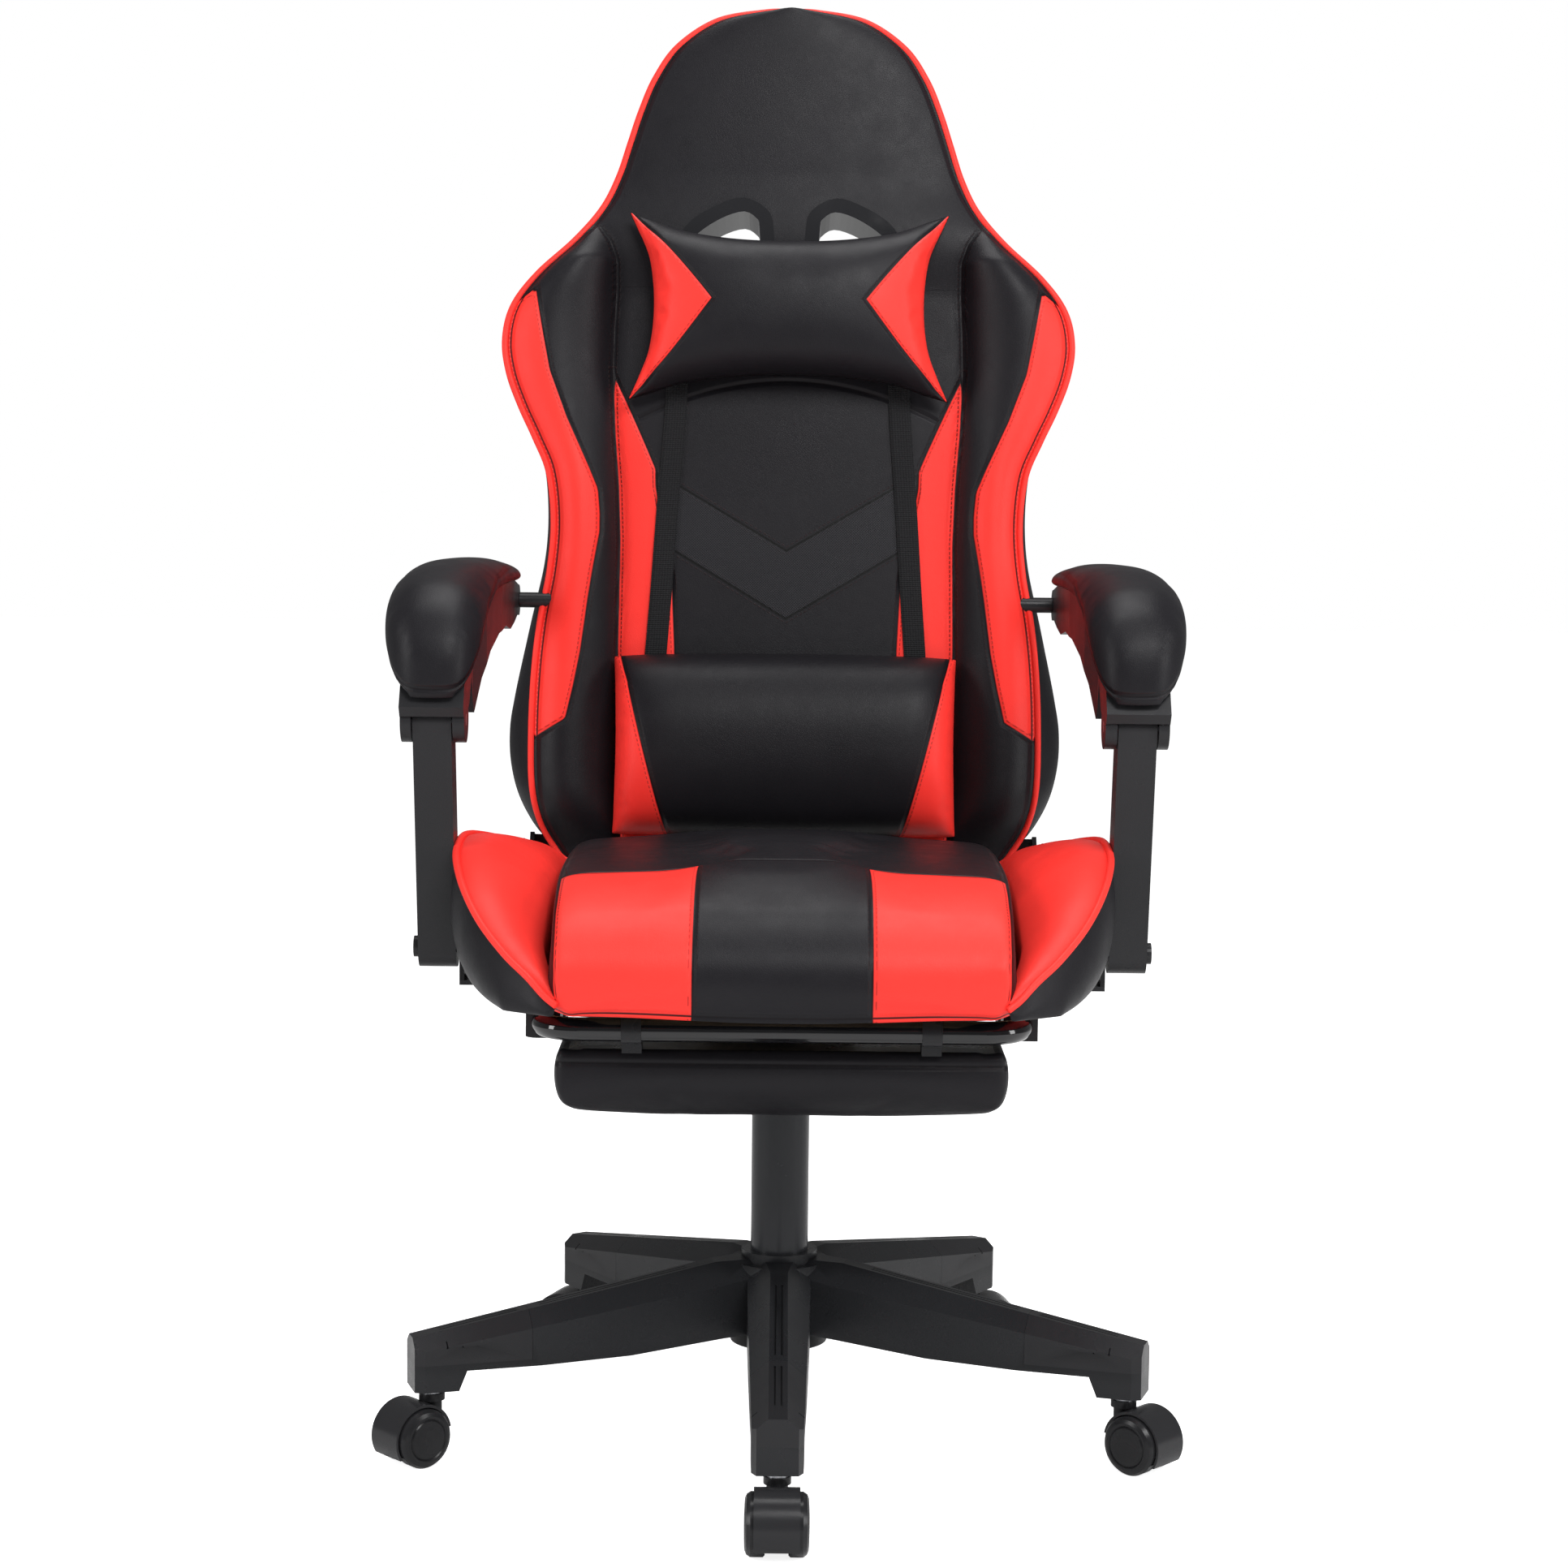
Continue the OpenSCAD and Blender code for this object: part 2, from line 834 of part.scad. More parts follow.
module footrest_board() {
    hw = foot_pad_w / 2 - 12;
    z1 = foot_z - foot_drop;
    color("#2a2b2e")
        union() {
            block([-hw, foot_pad_y[0] + 8, z1 - foot_board_t], [hw, foot_pad_y[1] - 6, z1]);
            for (x = [-120, 120])
                difference() {
                    union() {
                        bar_x(x - 8, x + 8, foot_y, foot_z, foot_r + 2);
                        block([x - 8, foot_y + 2, z1 + 0.4], [x + 8, foot_y + 26, foot_z - 3]);
                        block([x - 8, foot_pad_y[0] + 10, z1 - 1], [x + 8, foot_y + 26, z1 + 1]);
                    }
                    bar_x(x - 20, x + 20, foot_y, foot_z, foot_r + run_gap);
                }
        }
}

module footrest_pad() {
    hw = foot_pad_w / 2;
    z1 = foot_z - foot_drop;
    low = z1 - foot_pad_t;
    color("#1a1a1d")
        difference() {
            intersection() {
                across(-hw, hw)
                    polygon(smooth([
                        [foot_pad_y[0] + 8, z1 - 0.5], [foot_pad_y[0] + 1, z1 - 10], [foot_pad_y[0], z1 - 26],
                        [foot_pad_y[0] + 2, low + 12], [foot_pad_y[0] + 12, low + 2], [foot_pad_y[0] + 40, low],
                        [foot_pad_y[1] - 40, low], [foot_pad_y[1] - 12, low + 2], [foot_pad_y[1] - 2, low + 12],
                        [foot_pad_y[1], z1 - 26], [foot_pad_y[1] - 1, z1 - 10], [foot_pad_y[1] - 8, z1 - 0.5]
                    ]));
                through(-300, 0)
                    polygon(both([[hw - 14, low - 5], [hw - 4, low + 8], [hw, low + 24], [hw - 1, z1 - 6], [hw - 5, z1 + 5]]));
            }
            block([12 - hw, foot_pad_y[0] + 8, z1 - foot_board_t], [hw - 12, foot_pad_y[1] - 6, z1 + 1]);
        }
}

// ---------- backrest ----------

// Half outlines, bottom to top: the front face's edge, and the wider rear shell
front_half = on_back([
    [150, 16], [196, 18], [212, 34], [224, 58], [230, 90], [231, 140], [229, 192], [224, 240], [216, 285],
    [213, 330], [218, 375], [231, 407], [245, 437], [256, 467], [260, 497], [253, 528], [231, 559], [198, 592],
    [173, 624], [158, 656], [148, 687], [138, 718], [125, 749], [104, 779], [68, 803], [24, 812]
]);
rear_half = on_back([
    [150, 16], [190, 20], [216, 34], [238, 54], [255, 82], [264, 113], [265, 143], [260, 170], [252, 203],
    [237, 262], [229, 297], [226, 328], [226, 358], [228, 384], [232, 407], [245, 437], [256, 467], [259, 497], [252, 528],
    [230, 559], [197, 592], [172, 624], [157, 656], [147, 687], [137, 718], [124, 749], [103, 779], [67, 803], [24, 812]
]);

module outline(half) {
    polygon(both(half));
}

// One pass-through hole: a rounded triangle beside the middle of the head section
function hole_outline(grow) = on_back([
    [-28 + grow, 572 - grow], [-28 + grow, 606], [-31 + grow * 0.7, 614 + grow * 0.7], [-42, 620 + grow],
    [-60 - grow * 0.2, 615 + grow], [-80 - grow * 0.8, 603 + grow * 0.7], [-92 - grow, 590], [-90 - grow, 574 - grow * 0.6],
    [-80 - grow * 0.4, 566 - grow], [-40 + grow * 0.5, 564 - grow]
]);

module hole(grow) {
    polygon(smooth(hole_outline(grow)));
}

// Steel frame inside the cushion: two bent posts, a top bow and cross bars
module frame_tubes(extra) {
    r = 9 + extra;
    x = 176 * bw;
    for (s = [-1, 1])
        translate([s * x, 12, 4])
            cylinder(h = 470 * bs, r = r);
    for (z = [60, 470])
        bar_x(-x, x, 12, z * bs, r);
    for (s = [-1, 1])
        translate([s * 127 * bw, 12, 470 * bs])
            cylinder(h = 220 * bs, r = r);
    bar_x(-127 * bw, 127 * bw, 12, 690 * bs, r);
    for (s = [-1, 1])
        translate([s * 127 * bw, 12, 690 * bs])
            sphere(r = r);
}

module back_frame() {
    tube_x = 176 * bw;
    color("#2f3033")
        at_back() {
            frame_tubes(0);
            for (s = [-1, 1])
                side(s) {
                    translate([0, 0, hinge_up])
                        across(1 - plate_in, 5 - plate_in)
                            union() {
                                circle(r = 18);
                                polygon([[-17, 0], [17, 0], [20, 26], [0, 30]]);
                            }
                    block([3 - plate_in, 5, hinge_up + 4], [-tube_x, 19, hinge_up + 28]);
                    bar_x(-plate_out - 1, 3 - plate_in, 0, hinge_up, hinge_r);
                }
        }
}

module back_shell() {
    color("#1f1f22")
        at_back()
            difference() {
                union() {
                    intersection() {
                        through(shell_front, shell_rear + 5)
                            outline(rear_half);
                        upright(-10, 900)
                            polygon(both([
                                [0, shell_front], [280, shell_front], [280, 4], [256, 16], [225, 27], [150, shell_rear],
                                [60, shell_rear + 2]
                            ]));
                        across(-300, 300)
                            polygon([
                                [-60, 0], [20, 0], [shell_rear, 40], [shell_rear + 5, 200 * bs], [shell_rear + 5, 620 * bs],
                                [28, 760 * bs], [12, 830 * bs], [-60, 830 * bs]
                            ]);
                    }
                    // Middle panel and head pad in front of the shell
                    intersection() {
                        through(panel_front - 6, shell_front)
                            outline(front_half);
                        union() {
                            through(panel_front, shell_front)
                                translate([-seam_x + 1, 24])
                                    square([2 * seam_x - 2, 580 * bs]);
                            through(panel_front - 6, shell_front)
                                polygon(on_back(both([[156, 602], [175, 618], [400, 700], [400, 840]])));
                        }
                    }
                }
                for (s = [0, 1])
                    mirror([s, 0, 0])
                        through(-80, 80)
                            hole(9.5);
                frame_tubes(0.3);
                for (s = [-1, 1])
                    side(s)
                        block([-plate_in - 2, 4.5, -5], [-176 * bw, 19.5, hinge_up + 28.5]);
                bar_x(-300, -176 * bw, arm_pin[0], arm_pin[1], 8);
                bar_x(176 * bw, 300, arm_pin[0], arm_pin[1], 8);
                for (s = [-1, 1])
                    side(s)
                        block([-176 * bw - 17, arm_pin[0] - 6, arm_pin[1] - 9], [-176 * bw - 8, 13, arm_pin[1] + 9]);
            }
}

// The +x wing in front of the shell
module wing() {
    color("#d8352f")
        at_back()
            difference() {
                intersection() {
                    through(wing_front - 5, shell_front)
                        outline(front_half);
                    upright(-10, 900)
                        polygon([
                            [seam_x, shell_front], [seam_x, panel_front], [seam_x + 12, panel_front - 14], [seam_x + 30, -46],
                            [seam_x + 54, wing_front + 1], [seam_x + 76, wing_front], [seam_x + 100, wing_front + 8],
                            [seam_x + 130, -30], [seam_x + 130, shell_front]
                        ]);
                    through(wing_front - 5, shell_front)
                        polygon(on_back([
                            [150, 16], [290, 16], [290, 650], [176, 616], [165, 596], [156, 570]
                        ]));
                    across(100, 300)
                        polygon([
                            [shell_front, 10], [-44, 16], [-56, 60], [-56, 480 * bs], [-50, 545 * bs], [-32, 610 * bs],
                            [shell_front, 650 * bs]
                        ]);
                }
                bar_x(176 * bw + 8, 300, arm_pin[0], arm_pin[1], 13);
                block([176 * bw + 8, arm_pin[0], arm_pin[1] - 9], [176 * bw + 17, shell_front + cut, arm_pin[1] + 9]);
            }
}

module back_bolster_left() {
    wing();
}

module back_bolster_right() {
    side(1)
        wing();
}

module hole_bezels() {
    color("#141416")
        at_back()
            for (s = [-1, 1])
                side(s)
                    difference() {
                        union() {
                            through(panel_front - 10, shell_rear + 6)
                                hole(9.4);
                            through(panel_front - 12, panel_front - 6.3)
                                hole(13);
                        }
                        through(-100, 100)
                            hole(0);
                    }
}

module head_pillow() {
    color("#1f1f22")
        at_back()
            intersection() {
                through(-98, panel_front - 12.5)
                    polygon(on_back([
                        [-140, 438], [-149, 446], [-126, 530], [-148, 604], [-142, 616], [-90, 600], [0, 590], [90, 600],
                        [142, 616], [148, 604], [126, 530], [149, 446], [140, 438], [85, 456], [0, 464], [-85, 456]
                    ]));
                upright(400, 700)
                    polygon(both([[60, -98], [110, -84], [150, -44], [150, panel_front - 12.5], [60, panel_front - 12.5]]));
            }
}

module lumbar_pillow() {
    color("#1f1f22")
        at_back()
            intersection() {
                through(-106, panel_front - 3.2)
                    polygon(on_back([[-158, 38], [-159, 110], [-155, 196], [155, 196], [159, 110], [158, 38]]));
                across(-170, 170)
                    polygon([
                        [panel_front - 3.2, 36], [-50, 36], [-84, 48], [-102, 80], [-106, 118 * bs], [-98, 156 * bs],
                        [-76, 188 * bs], [-46, 200 * bs], [panel_front - 3.2, 200 * bs]
                    ]);
            }
}

// Elastic straps: pillow to pillow in front, through the holes, and down the rear
module pillow_straps() {
    strap_t = 1.6;
    strap_w = 20;
    front = panel_front - 0.4;
    rear = shell_rear + 6.2 + strap_t;
    color("#101012")
        at_back()
            for (s = [-1, 1])
                side(s) {
                    through(front - strap_t, front)
                        polygon(on_back([[-128, 190], [-108, 190], [-94, 460], [-114, 460]]));
                    block([-72, panel_front - 12.2, 574 * bs], [-72 + strap_w, rear, 574 * bs + strap_t]);
                    block([-72, rear - strap_t, 6], [-72 + strap_w, rear, 574 * bs + strap_t]);
                    block([-72, panel_front - 3, 6], [-72 + strap_w, rear, 6 + strap_t]);
                    block([-72, panel_front - 3, 6], [-72 + strap_w, panel_front - 3 + strap_t, 60]);
                }
}

// ---------- armrests ----------

module arm_rear_pins() {
    plate_x = 176 * bw + 9.3;
    color("#2f3033")
        at_back()
            for (s = [-1, 1])
                side(s) {
                    block([-plate_x - 6, arm_pin[0] - 5, arm_pin[1] - 8], [-plate_x, 12, arm_pin[1] + 8]);
                    bar_x(0.4 - rear_in, -plate_x - 1, arm_pin[0], arm_pin[1], 7);
                    bar_x(-rear_out - 1, -plate_x - 1, arm_pin[0], arm_pin[1], bolt_r);
                    bar_x(-rear_out - 5, -rear_out - 0.4, arm_pin[0], arm_pin[1], bolt_r + 4);
                }
}

// The -x arm's shell: rear eye, arch under the pad, and the fork round the post
module arm_core() {
    up = arm_pin[1] - hinge_up;
    pin_y = hinge_y + arm_pin[0] * cos(back_lean) + up * sin(back_lean);
    pin_z = hinge_z + up * cos(back_lean) - arm_pin[0] * sin(back_lean);
    color("#232427")
        difference() {
            union() {
                intersection() {
                    across(-ear_out, -rear_in)
                        union() {
                            translate([pin_y, pin_z])
                                circle(r = 14);
                            polygon(concat(
                                [[pin_y + 4, pin_z + 13], [150, 735], [60, 734], [0, 728], [-50, 710], [-88, 682], [-112, 656],
                                 [-122, 640], [-116, 632], [-104, 626], [arm_top_y, arm_top_z], [-70, 640], [-50, 662]],
                                [for (a = [150:-15:75]) [85 + 140 * cos(a), 562 + 135 * sin(a)]],
                                [[pin_y - 20, 702], [pin_y - 4, pin_z - 13.4]]
                            ));
                        }
                    upright(500, 800)
                        polygon([
                            [-rear_in, 230], [-rear_in, 150], [-248, 60], [-256, 0], [-ear_in, -40], [-ear_in, -150],
                            [-ear_out, -150], [-ear_out, -40], [-308, 0], [-292, 60], [-270, 130], [-rear_out, 160], [-rear_out, 230]
                        ]);
                }
                bar_x(-ear_out, -ear_in, arm_top_y, arm_top_z, 19);
            }
            bar_x(-rear_out - 2, -rear_in + 2, pin_y, pin_z, bolt_r + run_gap);
            across(-post_out - 1.2, -post_in + 1.2)
                union() {
                    translate([arm_top_y, arm_top_z])
                        circle(r = 20.5);
                    polygon([
                        [arm_top_y - 20.5, arm_top_z], [arm_top_y + 20.5, arm_top_z], [arm_top_y + 60, arm_top_z - 80],
                        [arm_top_y - 100, arm_top_z - 80]
                    ]);
                }
            bar_x(-ear_out - 5, -ear_in + 5, arm_top_y, arm_top_z, bolt_r);
            bar_x(-ear_out - 5, -ear_out + 3, arm_top_y, arm_top_z, bolt_r + 4);
        }
}

module arm_core_right() {
    arm_core();
}

module arm_core_left() {
    side(1)
        arm_core();
}

// The -x arm's pad, over the shell and down its front
module arm_pad() {
    f = 165 - arm_pad_len;
    color("#1c1c1f")
        intersection() {
            across(-340, -225)
                polygon([
                    [150, 735.3], [60, 734.3], [0, 728.3], [-50, 710.3], [-88, 682.5], [-112, 656.5], [f - 4, 644],
                    [f - 10, 652], [f - 12, 672], [f - 6, 698], [f + 10, 722], [f + 40, 742], [f + 85, 754],
                    [0, 758], [70, 758], [130, 752], [160, 742], [165, 736]
                ]);
            upright(600, 800)
                polygon(smooth([
                    [-262, 168], [-285, 158], [-300, 120], [-318, 60], [-330, -10], [-334, -60], [-330, -100], [-312, f - 6],
                    [-290, f - 11], [-266, f - 6], [-252, -95], [-248, -40], [-242, 30], [-236, 90], [-236, 140], [-244, 162]
                ]));
        }
}

module arm_pad_right() {
    arm_pad();
}

module arm_pad_left() {
    side(1)
        arm_pad();
}

module arm_bolt() {
    color("#85888c") {
        bar_x(-ear_out + 3, -ear_in, arm_top_y, arm_top_z, bolt_r);
        bar_x(-ear_out + 0.5, -ear_out + 3, arm_top_y, arm_top_z, bolt_r + 4);
    }
}

module arm_bolt_right() {
    arm_bolt();
}

module arm_bolt_left() {
    side(1)
        arm_bolt();
}

// The -x arm's post, from the seat bracket up to the fork
module arm_post() {
    dy = arm_top_y - arm_y;
    dz = arm_top_z - arm_z;
    run = sqrt(dy * dy + dz * dz);
    nx = dz / run;
    nz = -dy / run;
    color("#202124")
        difference() {
            across(-post_out, -post_in)
                union() {
                    translate([arm_y, arm_z])
                        circle(r = 17);
                    translate([arm_top_y, arm_top_z])
                        circle(r = 16);
                    polygon([
                        [arm_y - 17 * nx, arm_z - 17 * nz], [arm_y + 17 * nx, arm_z + 17 * nz],
                        [arm_top_y + 16 * nx, arm_top_z + 16 * nz], [arm_top_y - 16 * nx, arm_top_z - 16 * nz]
                    ]);
                }
            bar_x(-400, -200, arm_y, arm_z, bolt_r + run_gap);
            bar_x(-400, -200, arm_top_y, arm_top_z, bolt_r + linkage_play);
            // Recessed face on the outer side
            across(-post_out - cut, -post_out + 1.2)
                polygon([
                    [arm_y + 0.12 * dy - 9, arm_z + 0.12 * dz], [arm_y + 0.12 * dy + 9, arm_z + 0.12 * dz],
                    [arm_y + 0.86 * dy + 9, arm_z + 0.86 * dz], [arm_y + 0.86 * dy - 9, arm_z + 0.86 * dz]
                ]);
        }
}

module arm_post_right() {
    arm_post();
}

module arm_post_left() {
    side(1)
        arm_post();
}

// ---------- nodes ----------

base_star();
leg_covers();
gas_cylinder();
caster_hood(1);  // caster_1_hood
caster_stem(1);  // caster_1_stem
caster_wheels(1);  // caster_1_wheels
caster_hood(2);  // caster_2_hood
caster_stem(2);  // caster_2_stem
caster_wheels(2);  // caster_2_wheels
caster_hood(3);  // caster_3_hood
caster_stem(3);  // caster_3_stem
caster_wheels(3);  // caster_3_wheels
caster_hood(4);  // caster_4_hood
caster_stem(4);  // caster_4_stem
caster_wheels(4);  // caster_4_wheels
caster_hood(5);  // caster_5_hood
caster_stem(5);  // caster_5_stem
caster_wheels(5);  // caster_5_wheels
piston_rod();
thrust_bearing();
pressure_cylinder();
valve_button();
tilt_housing();
tilt_spring();
tension_knob();
lever_cam();
height_lever();
mech_plate();
tilt_axle();
mech_bolts();
seat_frame();
seat_pan();
seat_cushion();
seat_bolster_left();
seat_bolster_right();
recline_plates();
hinge_covers();
recline_lever();
arm_brackets();
footrest_guides();
footrest_frame();
footrest_board();
footrest_pad();
back_frame();
back_shell();
back_bolster_left();
back_bolster_right();
hole_bezels();
head_pillow();
lumbar_pillow();
pillow_straps();
arm_rear_pins();
arm_core_left();
arm_core_right();
arm_pad_left();
arm_pad_right();
arm_post_left();
arm_post_right();
arm_bolt_left();
arm_bolt_right();
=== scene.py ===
# %% [markdown]
# This file dresses a reclining gaming chair: a steel and plastic mechanism that is already exact, and
# soft covers that are not. The hard parts come in as fixed CAD nodes. They keep their shape and get a
# real finish, while every cushion, pillow and pad is modelled again here as sewn, stuffed leather.
# Lengths are in metres, the floor is z = 0, the chair faces -y, and +x is the sitter's left.

# %% Load the chair's frame
import json
import math

import bmesh
import bpy
import numpy as np
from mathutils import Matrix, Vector, kdtree


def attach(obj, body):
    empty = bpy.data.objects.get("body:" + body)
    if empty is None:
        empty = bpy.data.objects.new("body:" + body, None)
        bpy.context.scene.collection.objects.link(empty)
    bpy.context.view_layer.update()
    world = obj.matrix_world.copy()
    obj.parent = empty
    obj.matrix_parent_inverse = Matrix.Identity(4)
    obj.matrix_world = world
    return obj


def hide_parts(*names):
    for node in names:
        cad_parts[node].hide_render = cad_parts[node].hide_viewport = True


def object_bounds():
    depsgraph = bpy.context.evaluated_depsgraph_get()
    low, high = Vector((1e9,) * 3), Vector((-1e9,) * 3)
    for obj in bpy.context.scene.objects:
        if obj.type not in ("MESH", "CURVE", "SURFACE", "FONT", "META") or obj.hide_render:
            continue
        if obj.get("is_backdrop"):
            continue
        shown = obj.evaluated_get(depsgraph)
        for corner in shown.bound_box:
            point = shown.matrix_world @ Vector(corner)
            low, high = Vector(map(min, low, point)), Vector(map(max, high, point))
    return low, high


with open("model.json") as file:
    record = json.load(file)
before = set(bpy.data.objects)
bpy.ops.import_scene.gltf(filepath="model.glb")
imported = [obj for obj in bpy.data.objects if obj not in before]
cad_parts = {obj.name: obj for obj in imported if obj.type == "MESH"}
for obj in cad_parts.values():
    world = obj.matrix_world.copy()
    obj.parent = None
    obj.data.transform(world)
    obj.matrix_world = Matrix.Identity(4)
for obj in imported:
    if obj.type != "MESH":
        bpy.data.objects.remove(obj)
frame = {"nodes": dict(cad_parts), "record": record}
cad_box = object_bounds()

scene = bpy.context.scene
print("box:", [tuple(round(c, 3) for c in p) for p in cad_box])

# %% [markdown]
# The camera stands 2.7 m in front of the chair, a little above the lumbar pillow, and looks slightly
# down with a short telephoto lens, as a catalogue picture does. A long lens keeps the arms and the
# base from looking larger than they are. The tiny roll makes the chair lean by half a degree.

# %% Camera
camera = bpy.data.objects.new("camera", bpy.data.cameras.new("camera"))
camera.data.sensor_width = 36
camera.data.lens = 72.4
camera.location = (-0.003, -2.70, 0.84)
camera.rotation_euler = (math.radians(90 - 5.76), -0.0105, 0)
scene.collection.objects.link(camera)
scene.camera = camera
print("lens", camera.data.lens, "mm at", tuple(round(c, 2) for c in camera.location))

# %% [markdown]
# The setting is a white studio. A wide floor and an even white world make the background, and large
# soft area lights give black leather the broad grey sheen that shows its shape. Small lights would
# only leave dots on it. One light stands high in front, one on each side, and one lights the base.
# The world is seen as white but lights the chair at about a fifth of that, or black turns grey.

# %% Studio
scene.view_settings.view_transform = "Standard"
world = bpy.data.worlds.new("studio")
scene.world = world
world.use_nodes = True
sky = world.node_tree.nodes["Background"]
sky.inputs["Color"].default_value = (1.0, 1.0, 1.0, 1)
seen = world.node_tree.nodes.new("ShaderNodeLightPath")
level = world.node_tree.nodes.new("ShaderNodeMapRange")
world.node_tree.links.new(seen.outputs["Is Camera Ray"], level.inputs[0])
level.inputs[3].default_value, level.inputs[4].default_value = 0.22, 1.0
world.node_tree.links.new(level.outputs[0], sky.inputs["Strength"])


def soft_light(name, spot, aim, size, power):
    lamp = bpy.data.objects.new(name, bpy.data.lights.new(name, "AREA"))
    lamp.data.shape = "RECTANGLE"
    lamp.data.size, lamp.data.size_y = size
    lamp.data.energy = power
    lamp.location = spot
    lamp.rotation_euler = (Vector(aim) - Vector(spot)).to_track_quat("-Z", "Y").to_euler()
    scene.collection.objects.link(lamp)
    return lamp


soft_light("key", (0.9, -2.3, 2.6), (0, 0, 0.8), (1.5, 1.1), 84)
soft_light("left_window", (-2.4, -1.1, 1.3), (0, 0, 0.7), (0.6, 2.0), 36)
soft_light("right_window", (2.4, -1.1, 1.3), (0, 0, 0.7), (0.6, 2.0), 36)
soft_light("top", (0, 0.3, 2.9), (0, 0, 0.5), (1.4, 1.4), 40)

floor_grid = bmesh.new()
bmesh.ops.create_grid(floor_grid, x_segments=1, y_segments=1, size=14)
floor = bpy.data.objects.new("studio_floor", bpy.data.meshes.new("studio_floor"))
floor_grid.to_mesh(floor.data)
floor_grid.free()
scene.collection.objects.link(floor)
floor_paint = bpy.data.materials.new("studio_white")
floor_paint.use_nodes = True
floor_nodes = floor_paint.node_tree.nodes
floor_links = floor_paint.node_tree.links
floor_shader = floor_nodes["Principled BSDF"]
floor_shader.inputs["Base Color"].default_value = (0.93, 0.93, 0.93, 1)
floor_shader.inputs["Roughness"].default_value = 0.9
floor_shader.inputs["Specular IOR Level"].default_value = 0.1
floor_shader.inputs["Emission Color"].default_value = (1, 1, 1, 1)
floor_eye = floor_nodes.new("ShaderNodeLightPath")
floor_glow = floor_nodes.new("ShaderNodeMapRange")
floor_links.new(floor_eye.outputs["Is Camera Ray"], floor_glow.inputs[0])
floor_glow.inputs[4].default_value = 0.84
floor_links.new(floor_glow.outputs[0], floor_shader.inputs["Emission Strength"])
floor.data.materials.append(floor_paint)
floor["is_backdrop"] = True

# %% [markdown]
# A finish is a small network of nodes. Writing each link by hand is long, so this helper makes one
# Principled material and offers the few things every finish here needs: a number worked out from
# others, a colour mixed between two by a mask, a noise, a Voronoi grain, and a bump.

# %% A short way to write a finish
class Finish:
    def __init__(self, name, colour, roughness, **sockets):
        self.material = bpy.data.materials.new(name)
        self.material.use_nodes = True
        self.tree = self.material.node_tree
        self.shader = self.tree.nodes["Principled BSDF"]
        self.shader.inputs["Base Color"].default_value = (*colour, 1)
        self.shader.inputs["Roughness"].default_value = roughness
        self.shader.inputs["Specular IOR Level"].default_value = 0.17
        for socket, value in sockets.items():
            self.shader.inputs[socket.replace("_", " ")].default_value = value

    def node(self, kind, **settings):
        node = self.tree.nodes.new(kind)
        for key, value in settings.items():
            setattr(node, key, value)
        return node

    def feed(self, socket, value):
        if isinstance(value, bpy.types.NodeSocket):
            self.tree.links.new(value, socket)
        else:
            socket.default_value = value

    def math(self, operation, *values, clamp=False):
        node = self.node("ShaderNodeMath", operation=operation, use_clamp=clamp)
        for socket, value in zip(node.inputs, values):
            self.feed(socket, value)
        return node.outputs[0]

    def place(self):
        return self.node("ShaderNodeTexCoord").outputs["Object"]

    def attribute(self, name, output="Fac"):
        return self.node("ShaderNodeAttribute", attribute_name=name).outputs[output]

    def noise(self, scale, detail=3.0, where=None, roughness=0.55):
        node = self.node("ShaderNodeTexNoise")
        self.feed(node.inputs["Vector"], where or self.place())
        node.inputs["Scale"].default_value = scale
        node.inputs["Detail"].default_value = detail
        node.inputs["Roughness"].default_value = roughness
        return node.outputs["Fac"]

    def grain(self, scale, feature="F1", where=None, randomness=1.0):
        node = self.node("ShaderNodeTexVoronoi", feature=feature)
        self.feed(node.inputs["Vector"], where or self.place())
        node.inputs["Scale"].default_value = scale
        node.inputs["Randomness"].default_value = randomness
        return node.outputs["Distance"]

    def ramp(self, value, low, high, to_low=0.0, to_high=1.0, smooth=False):
        node = self.node("ShaderNodeMapRange", interpolation_type="SMOOTHSTEP" if smooth else "LINEAR")
        for socket, number in zip(node.inputs, (value, low, high, to_low, to_high)):
            self.feed(socket, number)
        return node.outputs[0]

    def mix(self, mask, first, second):
        node = self.node("ShaderNodeMix", data_type="RGBA")
        for socket, value in zip((node.inputs[0], node.inputs[6], node.inputs[7]), (mask, first, second)):
            self.feed(socket, value if isinstance(value, (float, bpy.types.NodeSocket)) else (*value[:3], 1))
        return node.outputs[2]

    def bump(self, height, distance, strength=1.0, under=None):
        node = self.node("ShaderNodeBump")
        node.inputs["Distance"].default_value = distance
        node.inputs["Strength"].default_value = strength
        self.feed(node.inputs["Height"], height)
        if under is not None:
            self.feed(node.inputs["Normal"], under)
        return node.outputs[0]

    def set(self, socket, value):
        self.feed(self.shader.inputs[socket], value)


print("finish helper ready")
